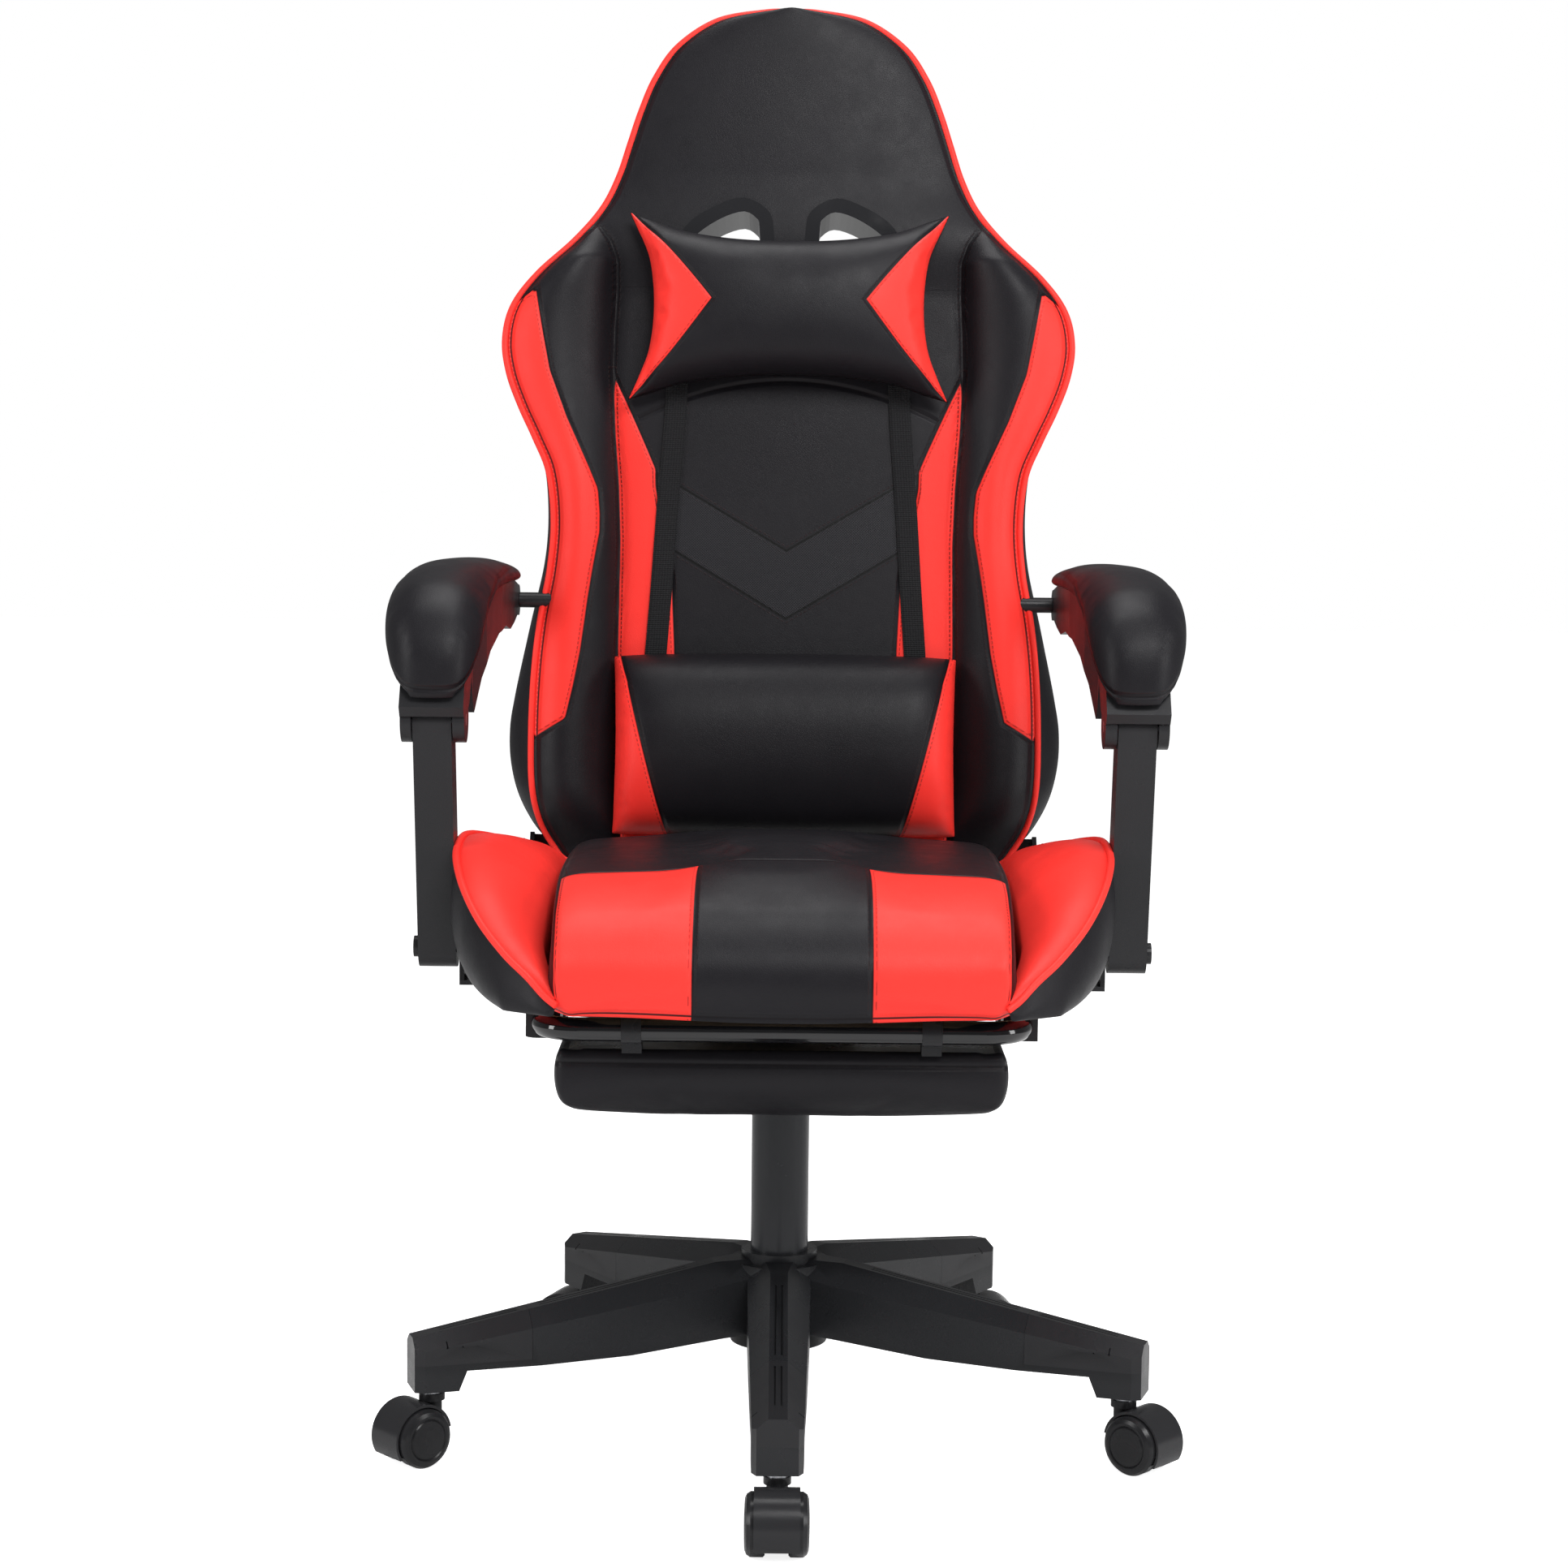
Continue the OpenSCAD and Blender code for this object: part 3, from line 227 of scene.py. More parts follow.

# %% [markdown]
# Moulded plastic and powder coat are never one flat colour. The base and the mechanism have a fine
# sparkle grain, which is a Voronoi bump under a millimetre wide, and edges that are handled a lot are
# smoother. Those edges are also painted lighter, a painted highlight where a rounded edge would catch
# the light. Geometry's Pointiness finds the edges, so the smoothing and the painted highlight follow
# the part's own shape.

# %% Plastics, paints and metals
def moulded(name, colour, roughness, grain_size=0.0006, depth=0.00005, **sockets):
    finish = Finish(name, colour, roughness, **sockets)
    cells = finish.grain(1 / grain_size)
    blotch = finish.noise(22, 4)
    # Pointiness marks the sharp edges, which get a painted highlight (a lighter colour) and a lower roughness
    edge = finish.ramp(finish.node("ShaderNodeNewGeometry").outputs["Pointiness"], 0.51, 0.58)
    tone = finish.mix(finish.ramp(blotch, 0.3, 0.7), [c * 0.82 for c in colour], [c * 1.18 for c in colour])
    # painted highlight: sharp edges are mixed towards a lighter colour
    finish.set("Base Color", finish.mix(edge, tone, [c * 1.6 + 0.003 for c in colour]))
    rough = finish.ramp(blotch, 0.3, 0.7, roughness - 0.06, roughness + 0.06)
    finish.set("Roughness", finish.math("SUBTRACT", rough, finish.math("MULTIPLY", edge, 0.1)))
    finish.set("Normal", finish.bump(cells, depth, 0.8, finish.bump(blotch, 0.0006, 0.25)))
    return finish.material


def plated(name, colour, roughness, line=0.0004):
    finish = Finish(name, colour, roughness, Metallic=1.0)
    stretch = finish.node("ShaderNodeMapping")
    finish.feed(stretch.inputs["Vector"], finish.place())
    stretch.inputs["Scale"].default_value = (1, 1, 0.06)
    lines = finish.noise(1 / line, 2, stretch.outputs[0])
    stain = finish.noise(40, 4)
    finish.set("Base Color", finish.mix(finish.ramp(stain, 0.35, 0.7), colour, [c * 0.72 for c in colour]))
    finish.set("Roughness", finish.ramp(lines, 0.3, 0.7, roughness - 0.05, roughness + 0.12))
    finish.set("Normal", finish.bump(lines, 0.00003, 0.6))
    return finish.material


def board(name):
    finish = Finish(name, (0.42, 0.29, 0.17), 0.75)
    stretch = finish.node("ShaderNodeMapping")
    finish.feed(stretch.inputs["Vector"], finish.place())
    stretch.inputs["Scale"].default_value = (0.08, 1, 1.6)
    rings = finish.noise(120, 5, stretch.outputs[0], 0.7)
    dark_rings = finish.ramp(rings, 0.35, 0.65)
    finish.set("Base Color", finish.mix(dark_rings, (0.46, 0.33, 0.2), (0.24, 0.15, 0.08)))
    finish.set("Normal", finish.bump(rings, 0.0003, 0.6))
    return finish.material


finishes = {
    "base_plastic": moulded("base_plastic", (0.0075, 0.0078, 0.0088), 0.38, 0.0008, 0.00009),
    "cover_plastic": moulded("cover_plastic", (0.0085, 0.0085, 0.0095), 0.42, 0.0007, 0.00006),
    "caster_plastic": moulded("caster_plastic", (0.010, 0.010, 0.011), 0.32, 0.0006, 0.00004),
    "wheel_plastic": moulded("wheel_plastic", (0.011, 0.011, 0.012), 0.26, 0.0006, 0.00003),
    "column_paint": moulded("column_paint", (0.011, 0.0115, 0.013), 0.32, 0.0005, 0.00003),
    "black_steel": moulded("black_steel", (0.0095, 0.0095, 0.0105), 0.38, 0.0007, 0.00008),
    "gloss_steel": moulded("gloss_steel", (0.005, 0.005, 0.006), 0.12, 0.0009, 0.00001, Coat_Weight=0.6),
    "gloss_trim": moulded("gloss_trim", (0.006, 0.006, 0.007), 0.15, 0.0009, 0.00001, Coat_Weight=0.5),
    "red_plastic": moulded("red_plastic", (0.55, 0.05, 0.035), 0.4),
    "bright_steel": plated("bright_steel", (0.62, 0.63, 0.65), 0.2),
    "zinc": plated("zinc", (0.52, 0.53, 0.56), 0.32),
    "plywood": board("plywood"),
}
for part in frame["record"]["subparts"]:
    finish = finishes.get(part["material_slot"])
    if finish is not None:
        for material_slot in frame["nodes"][part["node"]].material_slots:
            material_slot.material = finish
print("hard finishes:", ", ".join(sorted(finishes)))

# %% [markdown]
# All the soft parts wear the same smooth synthetic leather, black or red. Its grain is a very fine
# cell pattern that mostly shows as a soft, slightly broken sheen. Where two panels meet there is a
# sewn groove with a row of stitches beside it. Each piece carries, on every point, its distance to
# each of its seams. Working with distances keeps a colour edge sharp between points, and the same
# number gives the groove, the stitch line and the panel's colour.

# %% Leather
BLACK = (0.0092, 0.0086, 0.0104)
RED = (0.84, 0.036, 0.028)


def leather(name, base=BLACK, red=(), black=(), seams=(), stitched=(), along="Z", fine=()):
    finish = Finish(name, base, 0.42, Specular_IOR_Level=0.135)
    cells = finish.grain(620, "DISTANCE_TO_EDGE")
    wrinkle = finish.noise(45, 5)
    tone = finish.ramp(finish.noise(9, 3), 0.3, 0.7, 0.0, 1.0)
    colour = finish.mix(tone, [c * 0.93 for c in base], [c * 1.07 for c in base])
    for masks, paint in ((red, RED), (black, BLACK)):
        for attribute in masks:
            mask = finish.ramp(finish.attribute(attribute), -0.0003, 0.0003)
            painted = finish.mix(tone, [c * 0.94 for c in paint], [c * 1.05 for c in paint])
            colour = finish.mix(mask, colour, painted)
    height = finish.ramp(cells, 0.0, 0.12)
    normal = finish.bump(height, 0.00006, 0.7, finish.bump(wrinkle, 0.0010, 0.22))
    split = finish.node("ShaderNodeSeparateXYZ")
    finish.feed(split.inputs[0], finish.place())
    if seams or stitched or fine:
        depth = None
        for attribute in (*seams, *stitched):
            near = finish.math("ABSOLUTE", finish.attribute(attribute))
            depth = near if depth is None else finish.math("MINIMUM", depth, near)
        if depth is not None:
            groove = finish.ramp(depth, 0.0, 0.0045, smooth=True)
            normal = finish.bump(groove, 0.0014, 1.0, normal)
            colour = finish.mix(finish.ramp(depth, 0.0003, 0.0012, 1.0, 0.0), colour, (0.004, 0.003, 0.004))
    for attribute, axis in [(s, along) for s in stitched] + list(fine):
        near = finish.math("ABSOLUTE", finish.attribute(attribute))
        line = finish.math("ABSOLUTE", finish.math("SUBTRACT", near, 0.0032))
        row = finish.ramp(line, 0.0003, 0.0006, 1.0, 0.0)
        wave = finish.math("SINE", finish.math("MULTIPLY", split.outputs[axis], 2 * math.pi / 0.0042))
        dash = finish.math("MULTIPLY", row, finish.ramp(wave, -0.55, -0.2))
        colour = finish.mix(finish.math("MULTIPLY", dash, 0.5), colour, (0.020, 0.008, 0.008))
        normal = finish.bump(dash, 0.0003, 0.6, normal)
    finish.set("Base Color", colour)
    finish.set("Roughness", finish.ramp(wrinkle, 0.3, 0.7, 0.36, 0.46))
    finish.set("Normal", normal)
    return finish


plain_black = leather("leather_black").material
plain_red = leather("leather_red", base=RED).material
print("leather ready")

# %% [markdown]
# Every soft piece starts as a flat grid that is bent into place, because a grid gives even quads for
# smooth light and for cloth. `bent_grid` makes the grid and moves each point with a rule, and can
# join its first and last columns into a tube and close the tube's ends. `finished` turns the bmesh
# into an object at the origin. `keep_number` stores one number per point for the finishes to read.

# %% Helpers for soft pieces
def bent_grid(columns, rows, rule, tube=False, close=True):
    bm = bmesh.new()
    bmesh.ops.create_grid(bm, x_segments=columns, y_segments=rows, size=1)
    for v in bm.verts:
        v.co = Vector(rule(round((v.co.x + 1) / 2 * columns), round((v.co.y + 1) / 2 * rows)))
    if tube:
        bmesh.ops.remove_doubles(bm, verts=bm.verts, dist=1e-6)
        if close:
            bmesh.ops.holes_fill(bm, edges=[e for e in bm.edges if e.is_boundary], sides=0)
        bmesh.ops.recalc_face_normals(bm, faces=bm.faces)
    return bm


def finished(name, bm, material, smooth=True):
    piece = bpy.data.objects.new(name, bpy.data.meshes.new(name))
    bm.to_mesh(piece.data)
    bm.free()
    if smooth:
        piece.data.shade_smooth()
    piece.data.materials.append(material)
    scene.collection.objects.link(piece)
    return piece


def points_of(piece):
    flat = np.empty(len(piece.data.vertices) * 3)
    piece.data.vertices.foreach_get("co", flat)
    return flat.reshape(-1, 3)


def put_points(piece, points):
    piece.data.vertices.foreach_set("co", np.asarray(points, float).ravel())
    piece.data.update()


def keep_number(piece, name, values):
    slot = piece.data.attributes.get(name) or piece.data.attributes.new(name, "FLOAT", "POINT")
    slot.data.foreach_set("value", np.asarray(values, np.float32))


def made_plain(piece):
    graph = bpy.context.evaluated_depsgraph_get()
    mesh = bpy.data.meshes.new_from_object(piece.evaluated_get(graph))
    piece.modifiers.clear()
    piece.data = mesh
    return piece


def smooth_line(points, count, closed=False):
    """Evenly spaced points on the smooth curve through a few given ones."""
    p = [Vector(q) for q in points]
    ends = (p[-1], p[0], p[1])
    if not closed:
        ends = (2 * p[0] - p[1], 2 * p[-1] - p[-2], 2 * p[-1] - p[-2])
    chain = [ends[0], *p, ends[1], ends[2]]
    dense = []
    for i in range(1, len(p) + (1 if closed else 0)):
        a, b, c, d = chain[i - 1 : i + 3]
        for k in range(24):
            u = k / 24
            squared, cubed = 2 * a - 5 * b + 4 * c - d, 3 * b - a - 3 * c + d
            dense.append(0.5 * (2 * b + (c - a) * u + squared * u * u + cubed * u**3))
    dense.append(p[0] if closed else p[-1])
    dense = np.array([list(q) for q in dense])
    walked = np.concatenate([[0], np.cumsum(np.linalg.norm(np.diff(dense, axis=0), axis=1))])
    marks = np.linspace(0, walked[-1], count + 1)
    return np.stack([np.interp(marks, walked, dense[:, k]) for k in range(dense.shape[1])], axis=1)


def welt(name, path, radius, material, body, closed=False):
    """Piping: a thin round cord that is sewn into a seam."""
    curve = bpy.data.curves.new(name, "CURVE")
    curve.dimensions = "3D"
    curve.bevel_depth = radius
    curve.bevel_resolution = 3
    curve.use_fill_caps = not closed
    line = curve.splines.new("POLY")
    line.points.add(len(path) - 1)
    for point, spot in zip(line.points, path):
        point.co = (*spot, 1)
    line.use_cyclic_u = closed
    drawn = bpy.data.objects.new(name + "_line", curve)
    scene.collection.objects.link(drawn)
    mesh = bpy.data.meshes.new_from_object(drawn.evaluated_get(bpy.context.evaluated_depsgraph_get()))
    bpy.data.objects.remove(drawn)
    piece = bpy.data.objects.new(name, mesh)
    mesh.name = name
    mesh.materials.clear()
    mesh.materials.append(material)
    mesh.shade_smooth()
    scene.collection.objects.link(piece)
    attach(piece, body)
    return piece


def step(value, low, high):
    t = np.clip((np.asarray(value, float) - low) / (high - low), 0, 1)
    return t * t * (3 - 2 * t)


print("soft helpers ready")

# %% [markdown]
# Foam under leather pushes outwards everywhere except at the seams, which stay short and pull the
# panel into small puckers. Cloth with inner pressure does exactly that: the mesh swells, the pinned
# points stay, and points in the shrink group tighten like a gathered seam. Gravity is off, because
# foam carries its own weight, and no point may travel further than the cap.

# %% Stuffing a sewn cover
def relaxed(piece, times, share=0.5):
    bm = bmesh.new()
    bm.from_mesh(piece.data)
    for _ in range(times):
        bmesh.ops.smooth_vert(
            bm, verts=bm.verts, factor=share, use_axis_x=True, use_axis_y=True, use_axis_z=True
        )
    bm.to_mesh(piece.data)
    bm.free()
    piece.data.update()


def stuff(piece, pressure, cap, pinned=None, gathered=None, gather=0.1, stiffness=20, frames=20, bending=0.3):
    rest = points_of(piece).copy()
    cloth = piece.modifiers.new("stuffing", "CLOTH")
    s = cloth.settings
    s.quality = 7
    s.mass = 0.25
    s.air_damping = 4
    s.tension_stiffness = s.compression_stiffness = stiffness
    s.shear_stiffness = stiffness * 0.6
    s.bending_stiffness = bending
    s.use_pressure = True
    s.uniform_pressure_force = pressure
    s.effector_weights.gravity = 0
    cloth.collision_settings.use_collision = False
    if pinned is not None:
        group = piece.vertex_groups.new(name="pinned")
        for index, weight in enumerate(pinned):
            if weight > 0:
                group.add([index], float(weight), "REPLACE")
        s.vertex_group_mass = "pinned"
    if gathered is not None:
        group = piece.vertex_groups.new(name="gathered")
        for index, weight in enumerate(gathered):
            if weight > 0:
                group.add([index], float(weight), "REPLACE")
        s.vertex_group_shrink = "gathered"
        s.shrink_min, s.shrink_max = 0.0, gather
    cloth.point_cache.frame_start, cloth.point_cache.frame_end = 1, frames
    for number in range(1, frames + 1):
        scene.frame_set(number)
    graph = bpy.context.evaluated_depsgraph_get()
    held = piece.evaluated_get(graph)
    flat = np.empty(len(rest) * 3)
    held.data.vertices.foreach_get("co", flat)
    moved = flat.reshape(-1, 3) - rest
    length = np.linalg.norm(moved, axis=1, keepdims=True)
    moved *= np.minimum(1, cap / np.maximum(length, 1e-9))
    piece.modifiers.remove(cloth)
    piece.vertex_groups.clear()
    put_points(piece, rest + moved)
    scene.frame_set(1)
    print(piece.name, "swelled by up to", round(float(length.max()) * 1000, 1), "mm, cap", cap * 1000)


print("stuffing helper ready")

# %% [markdown]
# The backrest leans eight degrees, so its pieces are drawn in the backrest's own frame: x across, t up
# along the back and d rearwards, with d negative in front. `on_back` takes such a point to its place
# on the chair. The two outlines are the piping's line in front and the wider foam shell behind it.

# %% The backrest's own frame and outlines
LEAN = math.radians(8)
FOOT_OF_BACK = (0.2029, 0.45515)


def on_back(x, t, d):
    y = FOOT_OF_BACK[0] + t * math.sin(LEAN) + d * math.cos(LEAN)
    z = FOOT_OF_BACK[1] + t * math.cos(LEAN) - d * math.sin(LEAN)
    return (x, y, z)


def off_back(points):
    y, z = points[:, 1] - FOOT_OF_BACK[0], points[:, 2] - FOOT_OF_BACK[1]
    return points[:, 0], y * math.sin(LEAN) + z * math.cos(LEAN), y * math.cos(LEAN) - z * math.sin(LEAN)


def mm(points):
    return [[c / 1000 for c in p] for p in points]


def along_line(value, line):
    """Reads a line of (place, number) points at a place."""
    return np.interp(value, [p[0] for p in line], [p[1] for p in line])


FRONT_EDGE = mm([
    (150, 16), (196, 18), (212, 34), (224, 58), (230, 90), (231, 140), (229, 192), (224, 240),
    (216, 285), (213, 330), (218, 375), (231, 407), (245, 437), (256, 467), (260, 497), (253, 528),
    (231, 559), (198, 592), (173, 624), (158, 656), (148, 687), (138, 718), (125, 749), (104, 779),
    (68, 803), (24, 811.5), (0, 812.5),
])
REAR_EDGE = mm([
    (150, 16), (190, 20), (216, 34), (238, 54), (255, 82), (264, 113), (265, 143), (260, 170),
    (252, 203), (237, 262), (229, 297), (226, 328), (226, 358), (228, 384), (232, 407), (245, 437),
    (256, 467), (259, 497), (252, 528), (230, 559), (197, 592), (172, 624), (157, 656), (147, 687),
    (137, 718), (124, 749), (103, 779), (67, 803), (24, 811.5), (0, 812.5),
])
front_rows = smooth_line(FRONT_EDGE, 236)[:-1]
rear_line = smooth_line(REAR_EDGE, 400)


def half_width(t):
    return np.interp(t, front_rows[:, 1], front_rows[:, 0])


def rear_half_width(t):
    return np.interp(t, rear_line[:, 1], rear_line[:, 0])


print("backrest outline rows:", len(front_rows))

# %% [markdown]
# The front is a bucket. A flat middle panel lies between two wings, which rise from a sewn groove to
# a rounded ridge and fall again to the piping. Above the shoulders the wings fade into a domed head
# section. `front_depth` says how far forward each point of that surface is.

# %% The front's relief
SEAM = mm([
    (16, 150), (213, 155), (314, 154), (365, 156), (416, 160), (472, 162.5), (512, 161.5), (545, 160),
    (574, 160), (592, 166), (607, 176),
])


def seam_at(t):
    return along_line(t, SEAM)


def front_edge_depth(t):
    return -0.014 - 0.026 * step(t, 0.02, 0.09) * (1 - step(t, 0.53, 0.66))


def front_depth(x, t):
    a, w, seam = np.abs(x), half_width(t), seam_at(t)
    edge = front_edge_depth(t)
    wings = step(t, 0.016, 0.09) * (1 - step(t, 0.54, 0.645))
    middle = -0.0245 - 0.0035 * (1 - np.minimum(a / 0.157, 1) ** 2)
    out = np.clip((a - seam) / np.maximum(w - seam, 0.02), 0, 1)
    rise = np.sin(np.minimum(out / 0.6, 1) * math.pi / 2) ** 0.85
    fall = np.clip((out - 0.6) / 0.4, 0, 1) ** 2
    ridge = 0.031 * np.clip((w - seam) / 0.055, 0, 1)
    winged = middle - ridge * rise + (edge + 0.0245 + ridge) * fall
    groove = 0.003 * np.exp(-(((a - seam) / 0.0045) ** 2)) * (a < w)
    domed = edge - 0.0155 * np.clip(1 - (a / np.maximum(w, 0.01)) ** 2, 0, 1) ** 0.55
    hollow = 0.0020 * np.exp(-(((t - 0.604) / 0.055) ** 2)) * np.exp(-((a / 0.12) ** 4))
    return (winged + groove) * wings + domed * (1 - wings) + hollow


REAR_DEPTH = mm([
    (16, 12), (30, 26), (60, 36), (200, 40.5), (620, 40.5), (755, 27), (793, 18), (812.5, 4),
])


def rear_depth(t):
    return along_line(t, REAR_DEPTH)


print("ridge depth at the waist:", round(float(front_depth(0.19, 0.33)) * 1000, 1), "mm")

# %% [markdown]
# The whole cover is one closed skin. Each row of the grid is a loop round the back: across the front
# at one height, round the side, and back across the rear. The rear bulges out past the piping low
# down, where the foam is widest. Two holes for straps are then cut through with a Boolean.

# %% Backrest cover
ACROSS, SIDE, BEHIND = 112, 14, 36
ROUND_BACK = ACROSS + 2 * SIDE + BEHIND


def bezier(p, u):
    v = 1 - u
    return [v**3 * a + 3 * v * v * u * b + 3 * v * u * u * c + u**3 * d for a, b, c, d in zip(*p)]


def back_loop(column, row):
    w, t = front_rows[row]
    wr = max(float(rear_half_width(t)), w * 0.99)
    edge, rear = float(front_edge_depth(t)), float(rear_depth(t))
    column %= ROUND_BACK
    if column <= ACROSS:
        x = w * (2 * column / ACROSS - 1)
        return on_back(x, t, float(front_depth(x, t)) if abs(x) < w * 0.9999 else edge)
    column -= ACROSS
    flip = 1
    if column > SIDE + BEHIND:
        column, flip = SIDE - (column - SIDE - BEHIND), -1
    turn = min(0.07, 0.4 * wr)
    if column <= SIDE:
        out = (max(w, wr) + 0.003, edge + 0.35 * (rear - edge))
        x, d = bezier([(w, edge), out, (wr + 0.002, rear * 0.9), (wr - turn, rear)], column / SIDE)
        return on_back(flip * x, t, d)
    x = (wr - turn) * (1 - 2 * (column - SIDE) / BEHIND)
    return on_back(x, t, rear)


back_skin = bent_grid(ROUND_BACK, len(front_rows) - 1, back_loop, tube=True)
back_cover = finished("back_cover", back_skin, plain_black)

HOLE = mm([
    (-28, 572), (-28, 606), (-31, 614), (-42, 620), (-60, 615), (-80, 603), (-92, 590), (-90, 574),
    (-80, 566), (-40, 564),
])
HOLE_MIDDLE = Vector((-0.058, 0.592))
BEZEL_WALL = 0.0085
CUTTER_FRONT, CUTTER_DEPTH = -0.09, 0.18


def hole_cutter(flip):
    ring = [Vector(p) for p in smooth_line(HOLE, 40, closed=True)[:-1]]
    ring = [q + (q - HOLE_MIDDLE).normalized() * BEZEL_WALL for q in ring]
    bm = bmesh.new()
    face = bm.faces.new([bm.verts.new(on_back(flip * q.x, q.y, CUTTER_FRONT)) for q in ring])
    top = bmesh.ops.extrude_face_region(bm, geom=[face])
    far_ring = [g for g in top["geom"] if isinstance(g, bmesh.types.BMVert)]
    through = Vector(on_back(0, 0, CUTTER_DEPTH)) - Vector(on_back(0, 0, 0))
    bmesh.ops.translate(bm, verts=far_ring, vec=through)
    bmesh.ops.recalc_face_normals(bm, faces=bm.faces)
    return finished("cutter", bm, plain_black, smooth=False)


for flip in (1, -1):
    cutter = hole_cutter(flip)
    cut = back_cover.modifiers.new("hole", "BOOLEAN")
    cut.object, cut.operation, cut.solver = cutter, "DIFFERENCE", "EXACT"
    back_cover = made_plain(back_cover)
    bpy.data.objects.remove(cutter)
print("back cover:", len(back_cover.data.polygons), "faces")

# %% [markdown]
# Now the panels. The red outer stripe starts in a point at the shoulder and follows the piping to
# a cut end near the bottom. A narrower red panel grows beside the middle one from a point under the
# head pillow. A chevron band of finely pressed leather crosses the middle. Every number kept here is
# a distance in metres, above zero inside its panel.

# %% Panels and seams of the backrest
x, t, d = off_back(points_of(back_cover))
a = np.abs(x)
STRIPE = mm([
    (100, 205), (133, 203), (147, 200), (178, 193), (210, 187), (257, 181), (284, 177), (320, 171),
    (337, 171), (359, 173), (378, 181), (424, 202), (467, 218), (503, 225), (545, 232.5), (560, 234),
])
stripe = (a - along_line(t, STRIPE)) * 0.94
stripe = np.minimum(stripe, (t - (0.147 - (a - 0.200) * 0.583)) * 0.86)
stripe = np.minimum(stripe, ((0.545 - (a - 0.2325) * 0.72) - t) * 0.81)
PANEL = mm([
    (16, 99), (215, 102), (277, 105), (330, 114), (364, 120.5), (380, 121), (401, 130), (420, 138.5),
    (443, 149), (472, 163),
])
red_inner = (a - along_line(t, PANEL)) * 0.96
middle_side = -red_inner
red_inner = np.minimum(np.minimum(red_inner, seam_at(t) - a), 0.474 - t)
chevron = np.minimum((0.306 + a * 0.596) - t, t - (0.243 + a * 0.602)) * 0.86
chevron = np.minimum(chevron, middle_side)
arch = np.where(t < 0.55, 0.463 - 0.016 * (a / 0.093) ** 2 - t, 0.1)
inside = half_width(t) - a
front_side = -0.010 - d
for name, values in {
    "stripe": np.minimum(np.minimum(stripe, inside), front_side),
    "panel": np.minimum(red_inner, front_side),
    "chevron": np.minimum(chevron, front_side),
    "arch": np.where((middle_side > 0) & (d < 0), arch, 0.05),
    "wing_seam": np.where((t < 0.607) & (d < 0), seam_at(t) - a, 0.05),
    "rim": np.where(front_side > 0, inside - 0.0045, 0.05),
    "across": x,
    "up": t,
}.items():
    keep_number(back_cover, name, values)

back_leather = leather(
    "back_leather", red=("stripe", "panel"), seams=("arch", "rim"),
    stitched=("stripe", "panel", "wing_seam"), fine=(("chevron", "X"),),
)
pitch = 2 * math.pi / 0.0024
dots = back_leather.math("MULTIPLY",
    back_leather.math("SINE", back_leather.math("MULTIPLY", back_leather.attribute("across"), pitch)),
    back_leather.math("SINE", back_leather.math("MULTIPLY", back_leather.attribute("up"), pitch)))
pressed = back_leather.ramp(back_leather.attribute("chevron"), 0.0005, 0.0015)
holes = back_leather.math("MULTIPLY", pressed, back_leather.ramp(dots, 0.15, 0.5))
shader = back_leather.shader
colour_now = shader.inputs["Base Color"].links[0].from_socket
lifted = back_leather.mix(back_leather.math("MULTIPLY", pressed, 0.5), colour_now, (0.030, 0.030, 0.034))
edge_of_band = back_leather.math("ABSOLUTE", back_leather.attribute("chevron"))
line_dark = back_leather.ramp(edge_of_band, 0.0006, 0.0014, 1.0, 0.0)
band = back_leather.mix(holes, lifted, (0.006, 0.006, 0.007))
back_leather.set("Base Color", back_leather.mix(line_dark, band, (0.002, 0.002, 0.002)))
smooth_normal = shader.inputs["Normal"].links[0].from_socket
back_leather.set("Normal", back_leather.bump(holes, 0.0003, 0.8, smooth_normal))
back_cover.data.materials.clear()
back_cover.data.materials.append(back_leather.material)
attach(back_cover, "back")
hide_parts("back_shell", "back_bolster_left", "back_bolster_right")
print("red points on the back:", int((stripe > 0).sum()))

# %% [markdown]
# Red piping runs all the way round the front edge in one length, from one bottom corner over the head
# to the other. It is a round cord of about six millimetres, half sunk in its seam.

# %% Backrest piping
right_side = [on_back(w + 0.0012, t, float(front_edge_depth(t)) - 0.0004) for w, t in front_rows]
left_side = [(-p[0], p[1], p[2]) for p in right_side]
back_welt = welt("back_welt", left_side + right_side[::-1], 0.0031, plain_red, "back")
one_side = sum((Vector(b) - Vector(a)).length for a, b in zip(right_side, right_side[1:]))
print("piping length:", round(one_side * 2, 2), "m")

# %% [markdown]
# The head pillow is a bow-tie: two panels sewn round the edge and stuffed, so the long edges sink in,
# the sides pinch, and the four corners stay out as ears. It starts as a thin closed skin between two
# bent grids and is filled by cloth pressure. Its red ends are cut to a point in the middle of each
# side, which is why the colour mask is worked out on the flat pattern, before stuffing.

# %% Head pillow
def pillow_skin(name, columns, rows, place):
    """Front and back panels that share their edge. place(u, v, side) puts a point of the pattern."""
    front = bent_grid(columns, rows, lambda i, j: place(2 * i / columns - 1, 2 * j / rows - 1, -1))
    back = bent_grid(columns, rows, lambda i, j: place(2 * i / columns - 1, 2 * j / rows - 1, 1))
    mesh = bpy.data.meshes.new(name)
    back.to_mesh(mesh)
    front.from_mesh(mesh)
    back.free()
    bmesh.ops.remove_doubles(front, verts=front.verts, dist=1e-5)
    bmesh.ops.recalc_face_normals(front, faces=front.faces)
    return front


